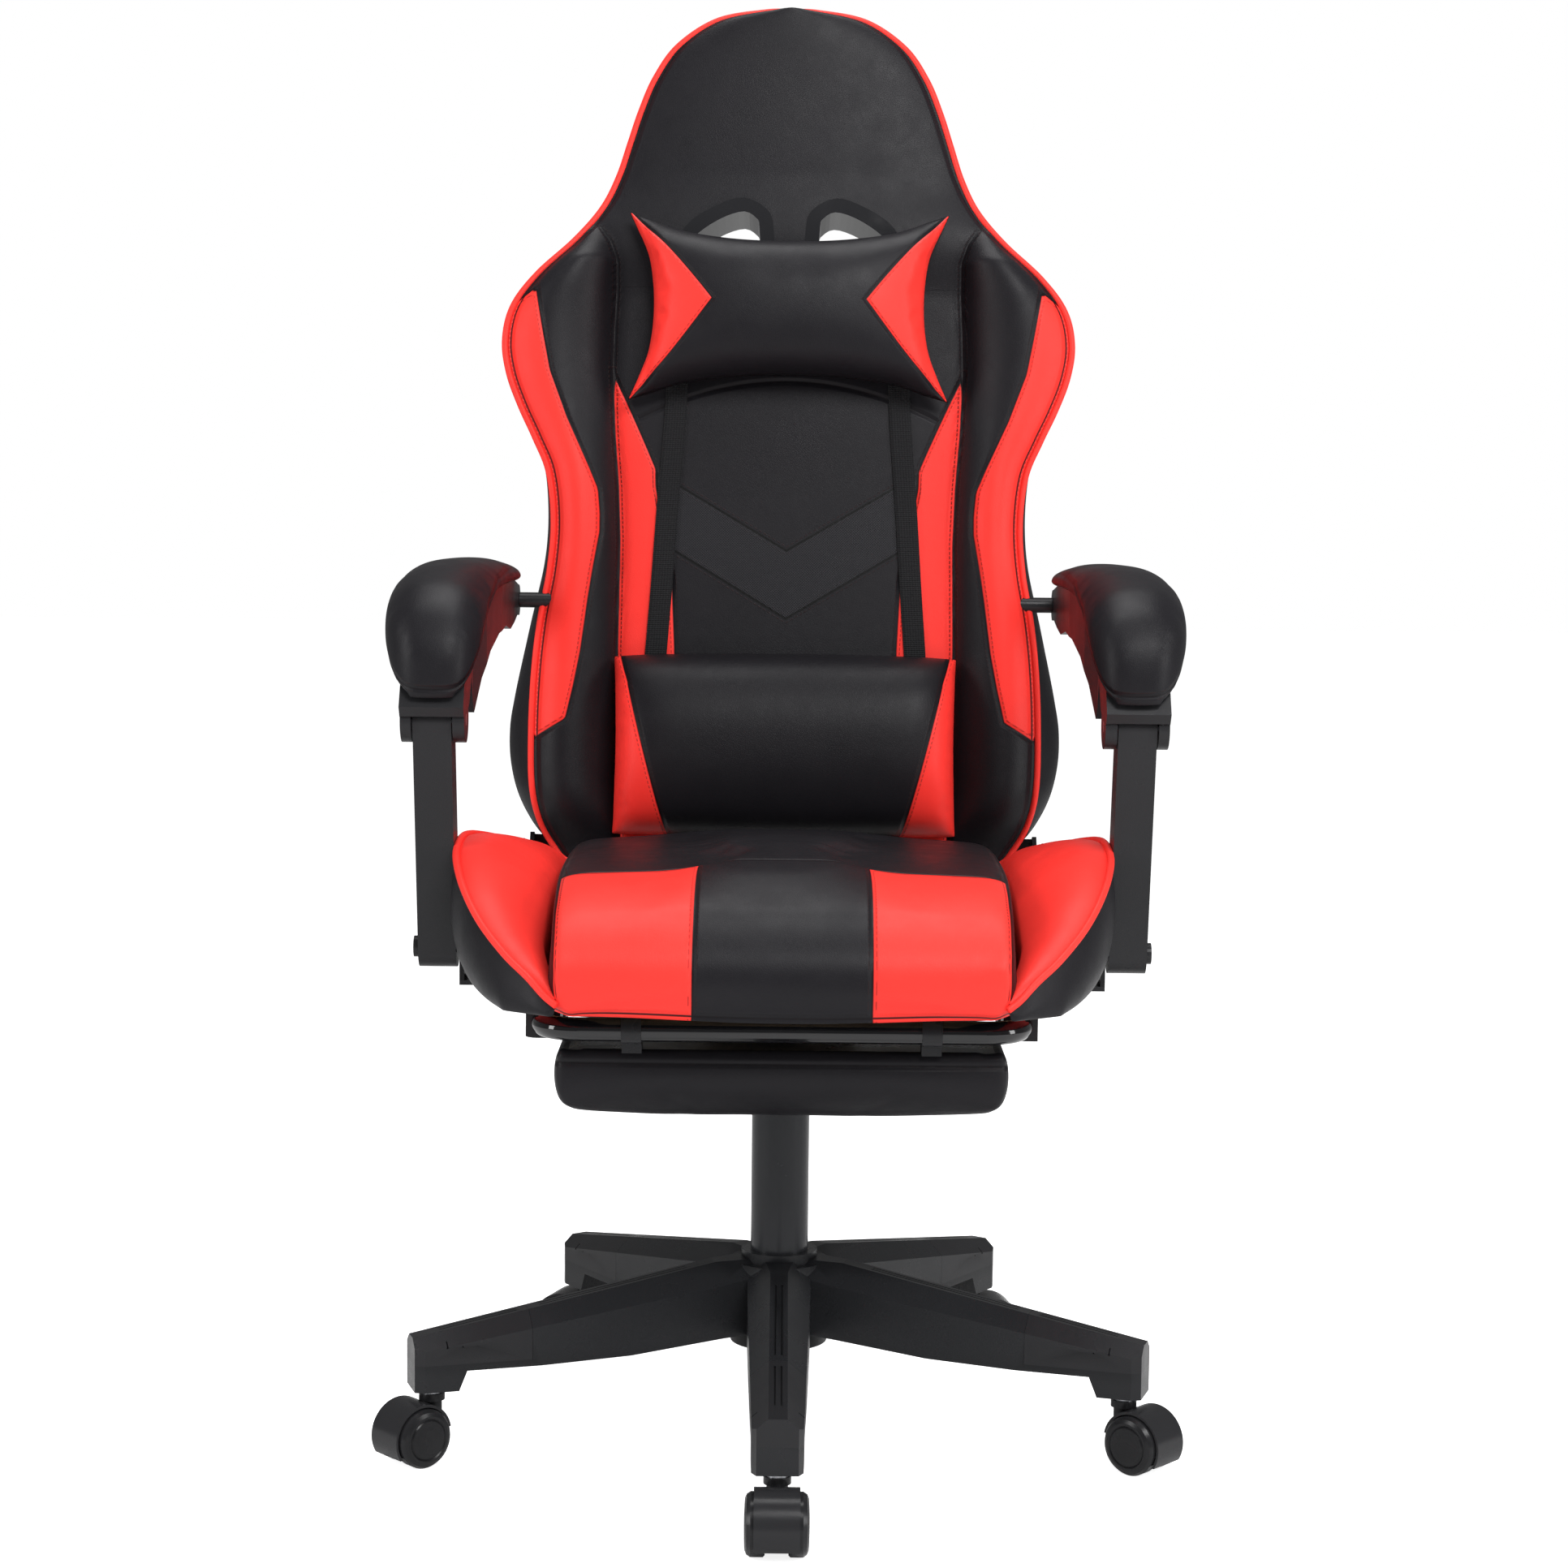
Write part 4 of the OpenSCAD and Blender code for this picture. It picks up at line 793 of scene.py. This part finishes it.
def pattern_of(piece, columns, rows, place):
    """For each point of the skin, its place (u, v) on the pattern."""
    tree = kdtree.KDTree(2 * (columns + 1) * (rows + 1))
    spots = []
    for side in (-1, 1):
        for i in range(columns + 1):
            for j in range(rows + 1):
                u, v = 2 * i / columns - 1, 2 * j / rows - 1
                tree.insert(place(u, v, side), len(spots))
                spots.append((u, v))
    tree.balance()
    return np.array([spots[tree.find(v.co)[1]] for v in piece.data.vertices])


def head_place(u, v, side):
    half = 0.1495 - 0.018 * (1 - v * v)
    t = 0.529 + v * (0.0955 - (0.028 if v > 0 else 0.021) * (1 - abs(u) ** 2.1))
    bulge = (max(0, 1 - abs(u) ** 3.0) ** 0.55) * (max(0, 1 - abs(v) ** 2.4) ** 0.55)
    return on_back(u * half, t, -0.046 - 0.040 * bulge if side < 0 else -0.046 + 0.0085 * bulge)


head_pillow = finished("head_pillow_cover", pillow_skin("head_pillow_skin", 66, 40, head_place), plain_black)
pattern = pattern_of(head_pillow, 66, 40, head_place)
u, v = pattern[:, 0], pattern[:, 1]
ends = (np.abs(u) - (0.53 + 0.45 * np.abs(v))) * 0.12
keep_number(head_pillow, "ends", ends)
keep_number(head_pillow, "hem", (1 - np.maximum(np.abs(u), np.abs(v))) * 0.1)
side_seam = np.clip((np.abs(u) - 0.9) * 10, 0, 1)
stuff(head_pillow, 2.2, 0.0065, gathered=side_seam, gather=0.08, stiffness=16, bending=0.12)
before = points_of(head_pillow).copy()
relaxed(head_pillow, 16)
calm = np.clip((0.84 - np.abs(u)) / 0.16, 0, 1)[:, None]
put_points(head_pillow, before + (points_of(head_pillow) - before) * calm)
points = points_of(head_pillow)
x, t, d = off_back(points)
resting = float(front_depth(0.0, 0.5)) - 0.0065
d = np.minimum(d, resting)
d = np.maximum(d, -0.101)
put_points(head_pillow, [on_back(*p) for p in zip(x, t, d)])
fuller = head_pillow.modifiers.new("finer", "SUBSURF")
fuller.levels = fuller.render_levels = 1
head_leather = leather("head_pillow_leather", red=("ends",), seams=("hem",), stitched=("ends",))
head_pillow.data.materials.clear()
head_pillow.data.materials.append(head_leather.material)
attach(head_pillow, "back")
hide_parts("head_pillow")
pillow_span = points_of(head_pillow).max(0) - points_of(head_pillow).min(0)
print("head pillow size:", [round(float(c), 3) for c in pillow_span])

# %% [markdown]
# The lumbar pillow is a fat roll, taller and deeper than the head pillow, with straight ends. Its
# front panel is much longer than its back one, so its section is a D. The red side panels are
# trapezoids that widen towards the bottom.

# %% Lumbar pillow
def lumbar_place(u, v, side):
    half = 0.1600 + 0.001 * (1 - v * v)
    t = 0.1245 + v * 0.0880 + 0.003 * (1 - u * u) * max(v, 0)
    if side > 0:
        return on_back(u * half, t, -0.0335 + 0.004 * (1 - v * v) * (1 - u**4))
    lift = (max(0, 1 - abs(u) ** 9) ** 0.55) * (max(0, 1 - abs(v) ** 2.3) ** 0.55)
    swell = 0.0035 * lift * v
    return on_back(u * half, t + swell, -0.0335 - 0.060 * lift)


lumbar_pillow = finished("lumbar_pillow_cover", pillow_skin("lumbar_skin", 60, 44, lumbar_place), plain_black)
pattern = pattern_of(lumbar_pillow, 60, 44, lumbar_place)
u, v = pattern[:, 0], pattern[:, 1]
ends = (np.abs(u) - (0.80 + 0.145 * v)) * 0.155
keep_number(lumbar_pillow, "ends", ends)
keep_number(lumbar_pillow, "hem", (1 - np.maximum(np.abs(u), np.abs(v))) * 0.12)
side_seam = np.clip((np.abs(u) - 0.93) * 14, 0, 1)
stuff(lumbar_pillow, 1.8, 0.0055, gathered=side_seam, gather=0.12, stiffness=18, bending=0.15)
x, t, d = off_back(points_of(lumbar_pillow))
held = zip(np.clip(x, -0.1605, 0.1605), np.maximum(t, 0.0375), np.clip(d, -0.1055, -0.0292))
put_points(lumbar_pillow, [on_back(*p) for p in held])
fuller = lumbar_pillow.modifiers.new("finer", "SUBSURF")
fuller.levels = fuller.render_levels = 1
lumbar_leather = leather("lumbar_pillow_leather", red=("ends",), seams=("hem",), stitched=("ends",))
lumbar_pillow.data.materials.clear()
lumbar_pillow.data.materials.append(lumbar_leather.material)
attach(lumbar_pillow, "back")
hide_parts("lumbar_pillow")
print("lumbar pillow faces:", len(lumbar_pillow.data.polygons))

# %% [markdown]
# Black elastic straps join the two pillows down the front of the back. The head pillow's own straps
# go through the holes, run down the rear and come back under the bottom to the lumbar pillow. Woven
# elastic has ribs across it and a firm edge, both in its finish.

# %% Pillow straps
elastic = Finish("elastic", (0.007, 0.007, 0.008), 0.72, Sheen_Weight=0.05, Sheen_Roughness=0.5)
rib = elastic.math("SINE", elastic.math("MULTIPLY", elastic.attribute("along"), 2 * math.pi / 0.0018))
edge_rib = elastic.math("SINE", elastic.math("MULTIPLY", elastic.attribute("across"), 2 * math.pi / 0.0025))
weave = elastic.math("ADD", elastic.math("MULTIPLY", rib, 0.6), elastic.math("MULTIPLY", edge_rib, 0.4))
ridge_of_weave = elastic.ramp(weave, -0.8, 0.8)
elastic.set("Base Color", elastic.mix(ridge_of_weave, (0.004, 0.004, 0.005), (0.011, 0.011, 0.012)))
elastic.set("Normal", elastic.bump(weave, 0.0004, 0.8))


def strap_points(path, wide, across):
    line = smooth_line(path, 90)
    sides = Vector(across).normalized() * wide / 2
    return line, sides


def strap(name, paths):
    bm = bmesh.new()
    numbers = []
    for path, across in paths:
        line, side = strap_points(path, 0.020, across)
        strip = bent_grid(6, 90, lambda i, j: Vector(line[j]) + side * (i / 3 - 1))
        mesh = bpy.data.meshes.new("strip")
        strip.to_mesh(mesh)
        strip.free()
        walked = np.concatenate([[0], np.cumsum(np.linalg.norm(np.diff(line, axis=0), axis=1))])
        for v in mesh.vertices:
            j = int(np.argmin(np.linalg.norm(line - np.array(v.co), axis=1)))
            numbers.append((walked[j], (v.co - Vector(line[j])).dot(side.normalized())))
        bm.from_mesh(mesh)
    piece = finished(name, bm, elastic.material)
    keep_number(piece, "along", [n[0] for n in numbers])
    keep_number(piece, "across", [n[1] for n in numbers])
    thick = piece.modifiers.new("thickness", "SOLIDIFY")
    thick.thickness, thick.offset = 0.0014, 0
    return piece


def down_front(flip):
    spots = mm([(102.5, 462), (104.5, 420), (110.5, 340), (115, 270), (119, 215), (121.5, 178)])
    return [on_back(flip * x, t, float(front_depth(x, t)) - 0.0016) for x, t in spots]


def round_rear(flip):
    spots = mm([
        (585, -40), (578, -20), (575.5, 0), (575, 34), (569, 44.5), (550, 44), (400, 43), (200, 43),
        (60, 42.5), (20, 38), (10, 22), (9, 0), (12, -20), (30, -26.5), (60, -27.5),
    ])
    return [on_back(flip * 0.062, t, d) for t, d in spots]


strap_paths = [(down_front(f), (1, 0, 0)) for f in (1, -1)] + [(round_rear(f), (1, 0, 0)) for f in (1, -1)]
straps = strap("pillow_elastic", strap_paths)
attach(straps, "back")
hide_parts("pillow_straps")
print("straps:", len(strap_paths), "lengths")

# %% [markdown]
# The seat cushion is a thick slab whose front rolls over in a waterfall edge, so it doesn't cut into
# the legs. Its side view is one closed outline, which is drawn across x with rounded ends. The top
# and front share three long panels, red, black, red, up to a cross seam. Behind it the top is black.

# %% Seat cushion
SEAT_SIDE = mm([
    (-262, 408.5), (-268, 423), (-271.5, 440), (-268, 457), (-256, 474), (-236, 490), (-208, 502),
    (-175, 510), (-130, 515.5), (-70, 517.5), (0, 517), (70, 514), (125, 508), (146, 500),
    (149.5, 486), (149.5, 450), (147, 416), (100, 414.5), (0, 414.5), (-100, 414.5), (-180, 414.5),
    (-232, 406), (-250, 405.5),
])
seat_line = smooth_line(SEAT_SIDE, 150, closed=True)[:-1]
SEAT_HALF = 0.1900
ENDS, WIDE = 8, 46
seat_middle = np.array([-0.055, 0.466])


def seat_point(column, row):
    steps = WIDE + 2 * ENDS
    side = 1 if row > steps / 2 else -1
    into = min(row, steps - row)
    y, z = seat_line[column % len(seat_line)]
    if into < ENDS:
        pull = (1 - into / ENDS) ** 0.9
        y, z = np.array([y, z]) * (1 - pull) + seat_middle * pull
        x = SEAT_HALF - 0.004 * (1 - pull)
        return (side * x, y, z)
    x = (row - ENDS) / WIDE * 2 - 1
    round_off = 1 - max(0, (abs(x) - 0.86) / 0.14) ** 2.4 * 0.10
    y = seat_middle[0] + (y - seat_middle[0]) * (0.04 * round_off + 0.96)
    z = seat_middle[1] + (z - seat_middle[1]) * round_off
    crown = 0.0015 * (1 - x * x) if z > 0.49 else 0
    narrow = 0.002 * step(-y, 0.15, 0.27)
    return (x * (SEAT_HALF - 0.004 - float(narrow)), y, z + crown)


seat_skin = bent_grid(len(seat_line), WIDE + 2 * ENDS, seat_point, tube=True)
seat_cushion = finished("seat_cover", seat_skin, plain_black)
rest = points_of(seat_cushion).copy()
a = np.abs(rest[:, 0])
y, z = rest[:, 1], rest[:, 2]
bowed = -0.150 - 0.005 * (a / 0.18) ** 4
from_hem = np.where((y > -0.24) & (z < 0.425), -0.01, SEAT_HALF - 0.006 - a)
red_top = np.minimum(np.minimum(a - 0.0705, bowed - y), from_hem)
keep_number(seat_cushion, "red_top", np.where(z > 0.406, red_top, -0.01))
keep_number(seat_cushion, "cross_seam", np.where((z > 0.49) & (a < SEAT_HALF - 0.004), bowed - y, 0.05))
keep_number(seat_cushion, "hem", np.where(((z > 0.45) | (y < -0.22)), SEAT_HALF - 0.0065 - a, 0.05))
keep_number(seat_cushion, "hem_front", np.where(y < -0.22, z - 0.4130, 0.05))
under = (z < 0.4155) & (y > -0.245)
walls = (a > SEAT_HALF - 0.0045)
edge_line = np.clip(1 - np.abs(a - (SEAT_HALF - 0.006)) / 0.006, 0, 1) * ((z > 0.44) | (y < -0.22))
stuff(
    seat_cushion, 2.0, 0.0055, pinned=np.where(under | walls & (z < 0.44), 1.0, 0.0),
    gathered=edge_line, gather=0.20, stiffness=14, bending=0.06,
)
moved = points_of(seat_cushion)
moved[:, 0] = np.clip(moved[:, 0], -0.1920, 0.1920)
moved[:, 1] = np.clip(moved[:, 1], -0.2775, 0.1515)
moved[:, 2] = np.maximum(moved[:, 2], np.where(moved[:, 1] > -0.231, 0.4135, 0.4028))
put_points(seat_cushion, moved)
fuller = seat_cushion.modifiers.new("finer", "SUBSURF")
fuller.levels = fuller.render_levels = 1
seat_leather = leather(
    "seat_leather", red=("red_top",), seams=("hem_front",),
    stitched=("red_top", "cross_seam", "hem"), along="Y",
)
seat_cushion.data.materials.clear()
seat_cushion.data.materials.append(seat_leather.material)
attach(seat_cushion, "seat")
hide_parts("seat_cushion")
print("seat cushion faces:", len(seat_cushion.data.polygons), "highest", round(float(moved[:, 2].max()), 3))

# %% [markdown]
# Each seat bolster is a lip that rises beside the cushion, highest near the hips, and sinks to a point
# at the front corner. Its inner face is red and its outer face black, and the piping on its rim parts
# them. The rim is one smooth line in space, so the whole bolster is drawn from it: at every y the
# section goes up the inner face, over the rim and down the outer face.

# %% Seat bolsters
RIM = mm([
    (176, -262, 417), (186, -257, 424), (200, -246, 437), (220, -226, 452), (243, -195, 474),
    (260, -158, 497), (270, -112, 515), (272, -60, 523), (271, 0, 521), (264, 55, 514),
    (255, 95, 507), (246, 130, 500),
])
rim_line = smooth_line(RIM, 90)
TOP_OF_INNER = [
    (-0.262, 0.419), (-0.24, 0.428), (-0.18, 0.452), (-0.10, 0.478), (0.0, 0.487), (0.135, 0.480),
]
FOOT_LINE = [
    (-0.262, 0.178), (-0.245, 0.204), (-0.232, 0.2205), (-0.20, 0.228), (-0.16, 0.236),
    (-0.08, 0.2445), (0.06, 0.2395), (0.135, 0.226),
]
INNER, OUTER, BELOW = 20, 20, 12
ROUND_BOLSTER = INNER + OUTER + BELOW


def bolster_section(y):
    xr = float(np.interp(y, rim_line[:, 1], rim_line[:, 0]))
    zr = float(np.interp(y, rim_line[:, 1], rim_line[:, 2]))
    tip = float(1 - step(y, -0.262, -0.17))
    x_in = 0.1925 - 0.0155 * tip
    low = 0.4055 + 0.003 * tip
    z_in = min(float(along_line(y, TOP_OF_INNER)), zr + 0.002)
    return xr, zr, x_in, z_in, low, float(along_line(y, FOOT_LINE))


def bolster_point(column, row):
    y = -0.262 + (0.135 + 0.262) * (row / 88) ** 1.12
    xr, zr, x_in, z_in, low, foot = bolster_section(y)
    column %= ROUND_BOLSTER
    wide = max(0, xr - x_in)
    if column <= INNER:
        s = column / INNER
        low_pull = (x_in + 0.16 * wide, z_in + 0.30 * (zr - z_in) + 0.006)
        high_pull = (xr - 0.42 * wide, zr + 0.004 + 0.05 * wide)
        x, z = bezier([(x_in, z_in), low_pull, high_pull, (xr, zr)], s)
    elif column <= INNER + OUTER:
        s = (column - INNER) / OUTER
        tall = zr - low
        high_pull = (xr + 0.004 + 0.05 * tall, zr - 0.30 * tall)
        low_pull = (foot + 0.95 * (xr - foot) + 0.011, low + 0.12 * tall)
        x, z = bezier([(xr, zr), high_pull, low_pull, (foot, low)], s)
        x = min(x, 0.2755)
    else:
        s = (column - INNER - OUTER) / BELOW
        shelf = 0.4145
        if s <= 0.2:
            x, z = foot - 0.0015 * s / 0.2, low + (shelf - low) * s / 0.2
        elif s <= 0.8:
            x, z = foot - 0.0015 + (x_in - foot + 0.0015) * (s - 0.2) / 0.6, shelf
        else:
            x, z = x_in, shelf + max(0, z_in - shelf) * (s - 0.8) / 0.2
    return (x, y, z)


def seat_bolster(name, flip):
    bm = bent_grid(ROUND_BOLSTER, 88, bolster_point, tube=True)
    if flip < 0:
        bmesh.ops.scale(bm, vec=(-1, 1, 1), verts=bm.verts)
        bmesh.ops.reverse_faces(bm, faces=bm.faces)
    piece = finished(name, bm, plain_red)
    rest = points_of(piece).copy()
    a, y, z = np.abs(rest[:, 0]), rest[:, 1], rest[:, 2]
    xr, zr = np.interp(y, rim_line[:, 1], rim_line[:, 0]), np.interp(y, rim_line[:, 1], rim_line[:, 2])
    foot = np.array([bolster_section(v)[5] for v in y])
    down = np.clip((zr - z) / np.maximum(zr - 0.4055, 0.001), 0, 1)
    keep_number(piece, "outside", np.clip(a - (xr + (foot - xr) * down) + 0.001, -0.02, 0.02))
    pin = ((z < 0.421) | (a < 0.1880)).astype(float)
    near_rim = np.clip(1 - np.hypot(a - xr, z - zr) / 0.005, 0, 1)
    stuff(piece, 2.2, 0.004, pinned=np.maximum(pin, near_rim), stiffness=20, bending=0.2)
    spots = points_of(piece)
    spots[:, 0] = flip * np.maximum(np.abs(spots[:, 0]), 0.1775)
    spots[:, 2] = np.maximum(spots[:, 2], 0.405)
    put_points(piece, spots)
    fuller = piece.modifiers.new("finer", "SUBSURF")
    fuller.levels = fuller.render_levels = 1
    piece.data.materials.clear()
    piece.data.materials.append(bolster_leather.material)
    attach(piece, "seat")
    path = [(flip * (p[0] + 0.0008), p[1], p[2] + 0.0008) for p in rim_line]
    cord = welt(name + "_welt", path, 0.0030, plain_red, "seat")
    return piece


bolster_leather = leather("bolster_leather", base=RED, black=("outside",), along="Y")
left_bolster = seat_bolster("seat_bolster_cover_left", 1)
right_bolster = seat_bolster("seat_bolster_cover_right", -1)
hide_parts("seat_bolster_left")
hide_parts("seat_bolster_right")
print("bolster faces:", len(left_bolster.data.polygons))

# %% [markdown]
# Each arm pad is a thick leather cap on a plastic shell, straight behind and drooping in front like a
# thumb. The exact pad gives the outline, but it has flat facets, so a copy of it is remeshed into
# even quads, relaxed until the facets are gone, and stuffed a little. The seam between its top
# and its side band runs round it near the bottom edge, with a row of stitches on both sides.

# %% Arm pads
def remade(node, name, voxel):
    copy = bpy.data.objects.new(name, frame["nodes"][node].data.copy())
    scene.collection.objects.link(copy)
    bm = bmesh.new()
    bm.from_mesh(copy.data)
    bmesh.ops.remove_doubles(bm, verts=bm.verts, dist=1e-5)
    bm.to_mesh(copy.data)
    bm.free()
    mesher = copy.modifiers.new("even", "REMESH")
    mesher.mode, mesher.voxel_size = "VOXEL", voxel
    copy = made_plain(copy)
    copy.data.shade_smooth()
    return copy


ARM_UNDERSIDE = mm([
    (-130, 641), (-124, 644), (-112, 656), (-88, 682), (-50, 710), (0, 728), (60, 734), (150, 735),
    (170, 736),
])
arm_leather = leather("arm_leather", stitched=("band",), along="Y")


def arm_pad(side, flip):
    piece = remade(f"arm_pad_{side}", f"arm_pad_cover_{side}", 0.004)
    relaxed(piece, 12)
    spots = points_of(piece)
    lower = along_line(spots[:, 1], ARM_UNDERSIDE)
    middle = np.interp(spots[:, 1], [-0.06, 0.03, 0.12], [0.292, 0.282, 0.268])
    half = np.interp(spots[:, 1], [-0.06, 0.03, 0.12], [0.042, 0.040, 0.032])
    out = np.minimum(np.abs(np.abs(spots[:, 0]) - middle) / half, 1.05)
    crowned = lower + (spots[:, 2] - lower) * (1 - 0.42 * out**3)
    spots[:, 2] = np.where(spots[:, 2] > lower, crowned, spots[:, 2])
    put_points(piece, spots)
    relaxed(piece, 12)
    stuff(piece, 3.0, 0.005, pinned=(spots[:, 2] < lower + 0.004).astype(float), stiffness=18, bending=0.3)
    relaxed(piece, 3)
    spots = points_of(piece)
    keep_number(piece, "band", spots[:, 2] - (along_line(spots[:, 1], ARM_UNDERSIDE) + 0.0135))
    fuller = piece.modifiers.new("finer", "SUBSURF")
    fuller.levels = fuller.render_levels = 1
    piece.data.materials.clear()
    piece.data.materials.append(arm_leather.material)
    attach(piece, f"arm_{side}")
    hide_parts(f"arm_pad_{side}")
    return piece


arm_pads = [arm_pad("left", 1), arm_pad("right", -1)]
print("arm pad faces:", [len(p.data.polygons) for p in arm_pads])

# %% [markdown]
# The footrest's pad hangs upside down under the seat until the footrest is pulled out and turned over.
# It is a plain boxed cushion: its big face and its side band are all black leather, and the only seam
# runs round the bottom edge. The same remesh and stuffing rounds it off.

# %% Footrest pad
foot_pad = remade("footrest_pad", "footrest_cover", 0.005)
relaxed(foot_pad, 6)
spots = points_of(foot_pad)
spots[:, 2] += 0.004 * step(-spots[:, 1], 0.188, 0.200) * step(spots[:, 2], 0.350, 0.366)
put_points(foot_pad, spots)
stuff(foot_pad, 3.0, 0.006, pinned=(spots[:, 2] > 0.3675).astype(float), stiffness=18, bending=0.25)
relaxed(foot_pad, 2)
spots = points_of(foot_pad)
spots[:, 2] = np.minimum(spots[:, 2], np.where(spots[:, 1] < -0.192, 0.3748, 0.3706))
put_points(foot_pad, spots)
keep_number(foot_pad, "hem", spots[:, 2] - 0.362)
fuller = foot_pad.modifiers.new("finer", "SUBSURF")
fuller.levels = fuller.render_levels = 1
foot_pad.data.materials.clear()
foot_pad.data.materials.append(leather("footrest_leather", seams=("hem",), along="X").material)
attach(foot_pad, "footrest_flap")
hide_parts("footrest_pad")
print("footrest pad faces:", len(foot_pad.data.polygons))

# %% [markdown]
# The covers may stand a little proud of the exact parts, but never change the chair's size, so both
# boxes are printed, one after the other, at the end.

# %% Sizes, and close
visual_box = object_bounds()
sizes = {"cad": [list(p) for p in cad_box], "visual": [list(p) for p in visual_box]}
for name, pair in sizes.items():
    print(name, [[round(c, 4) for c in p] for p in pair])
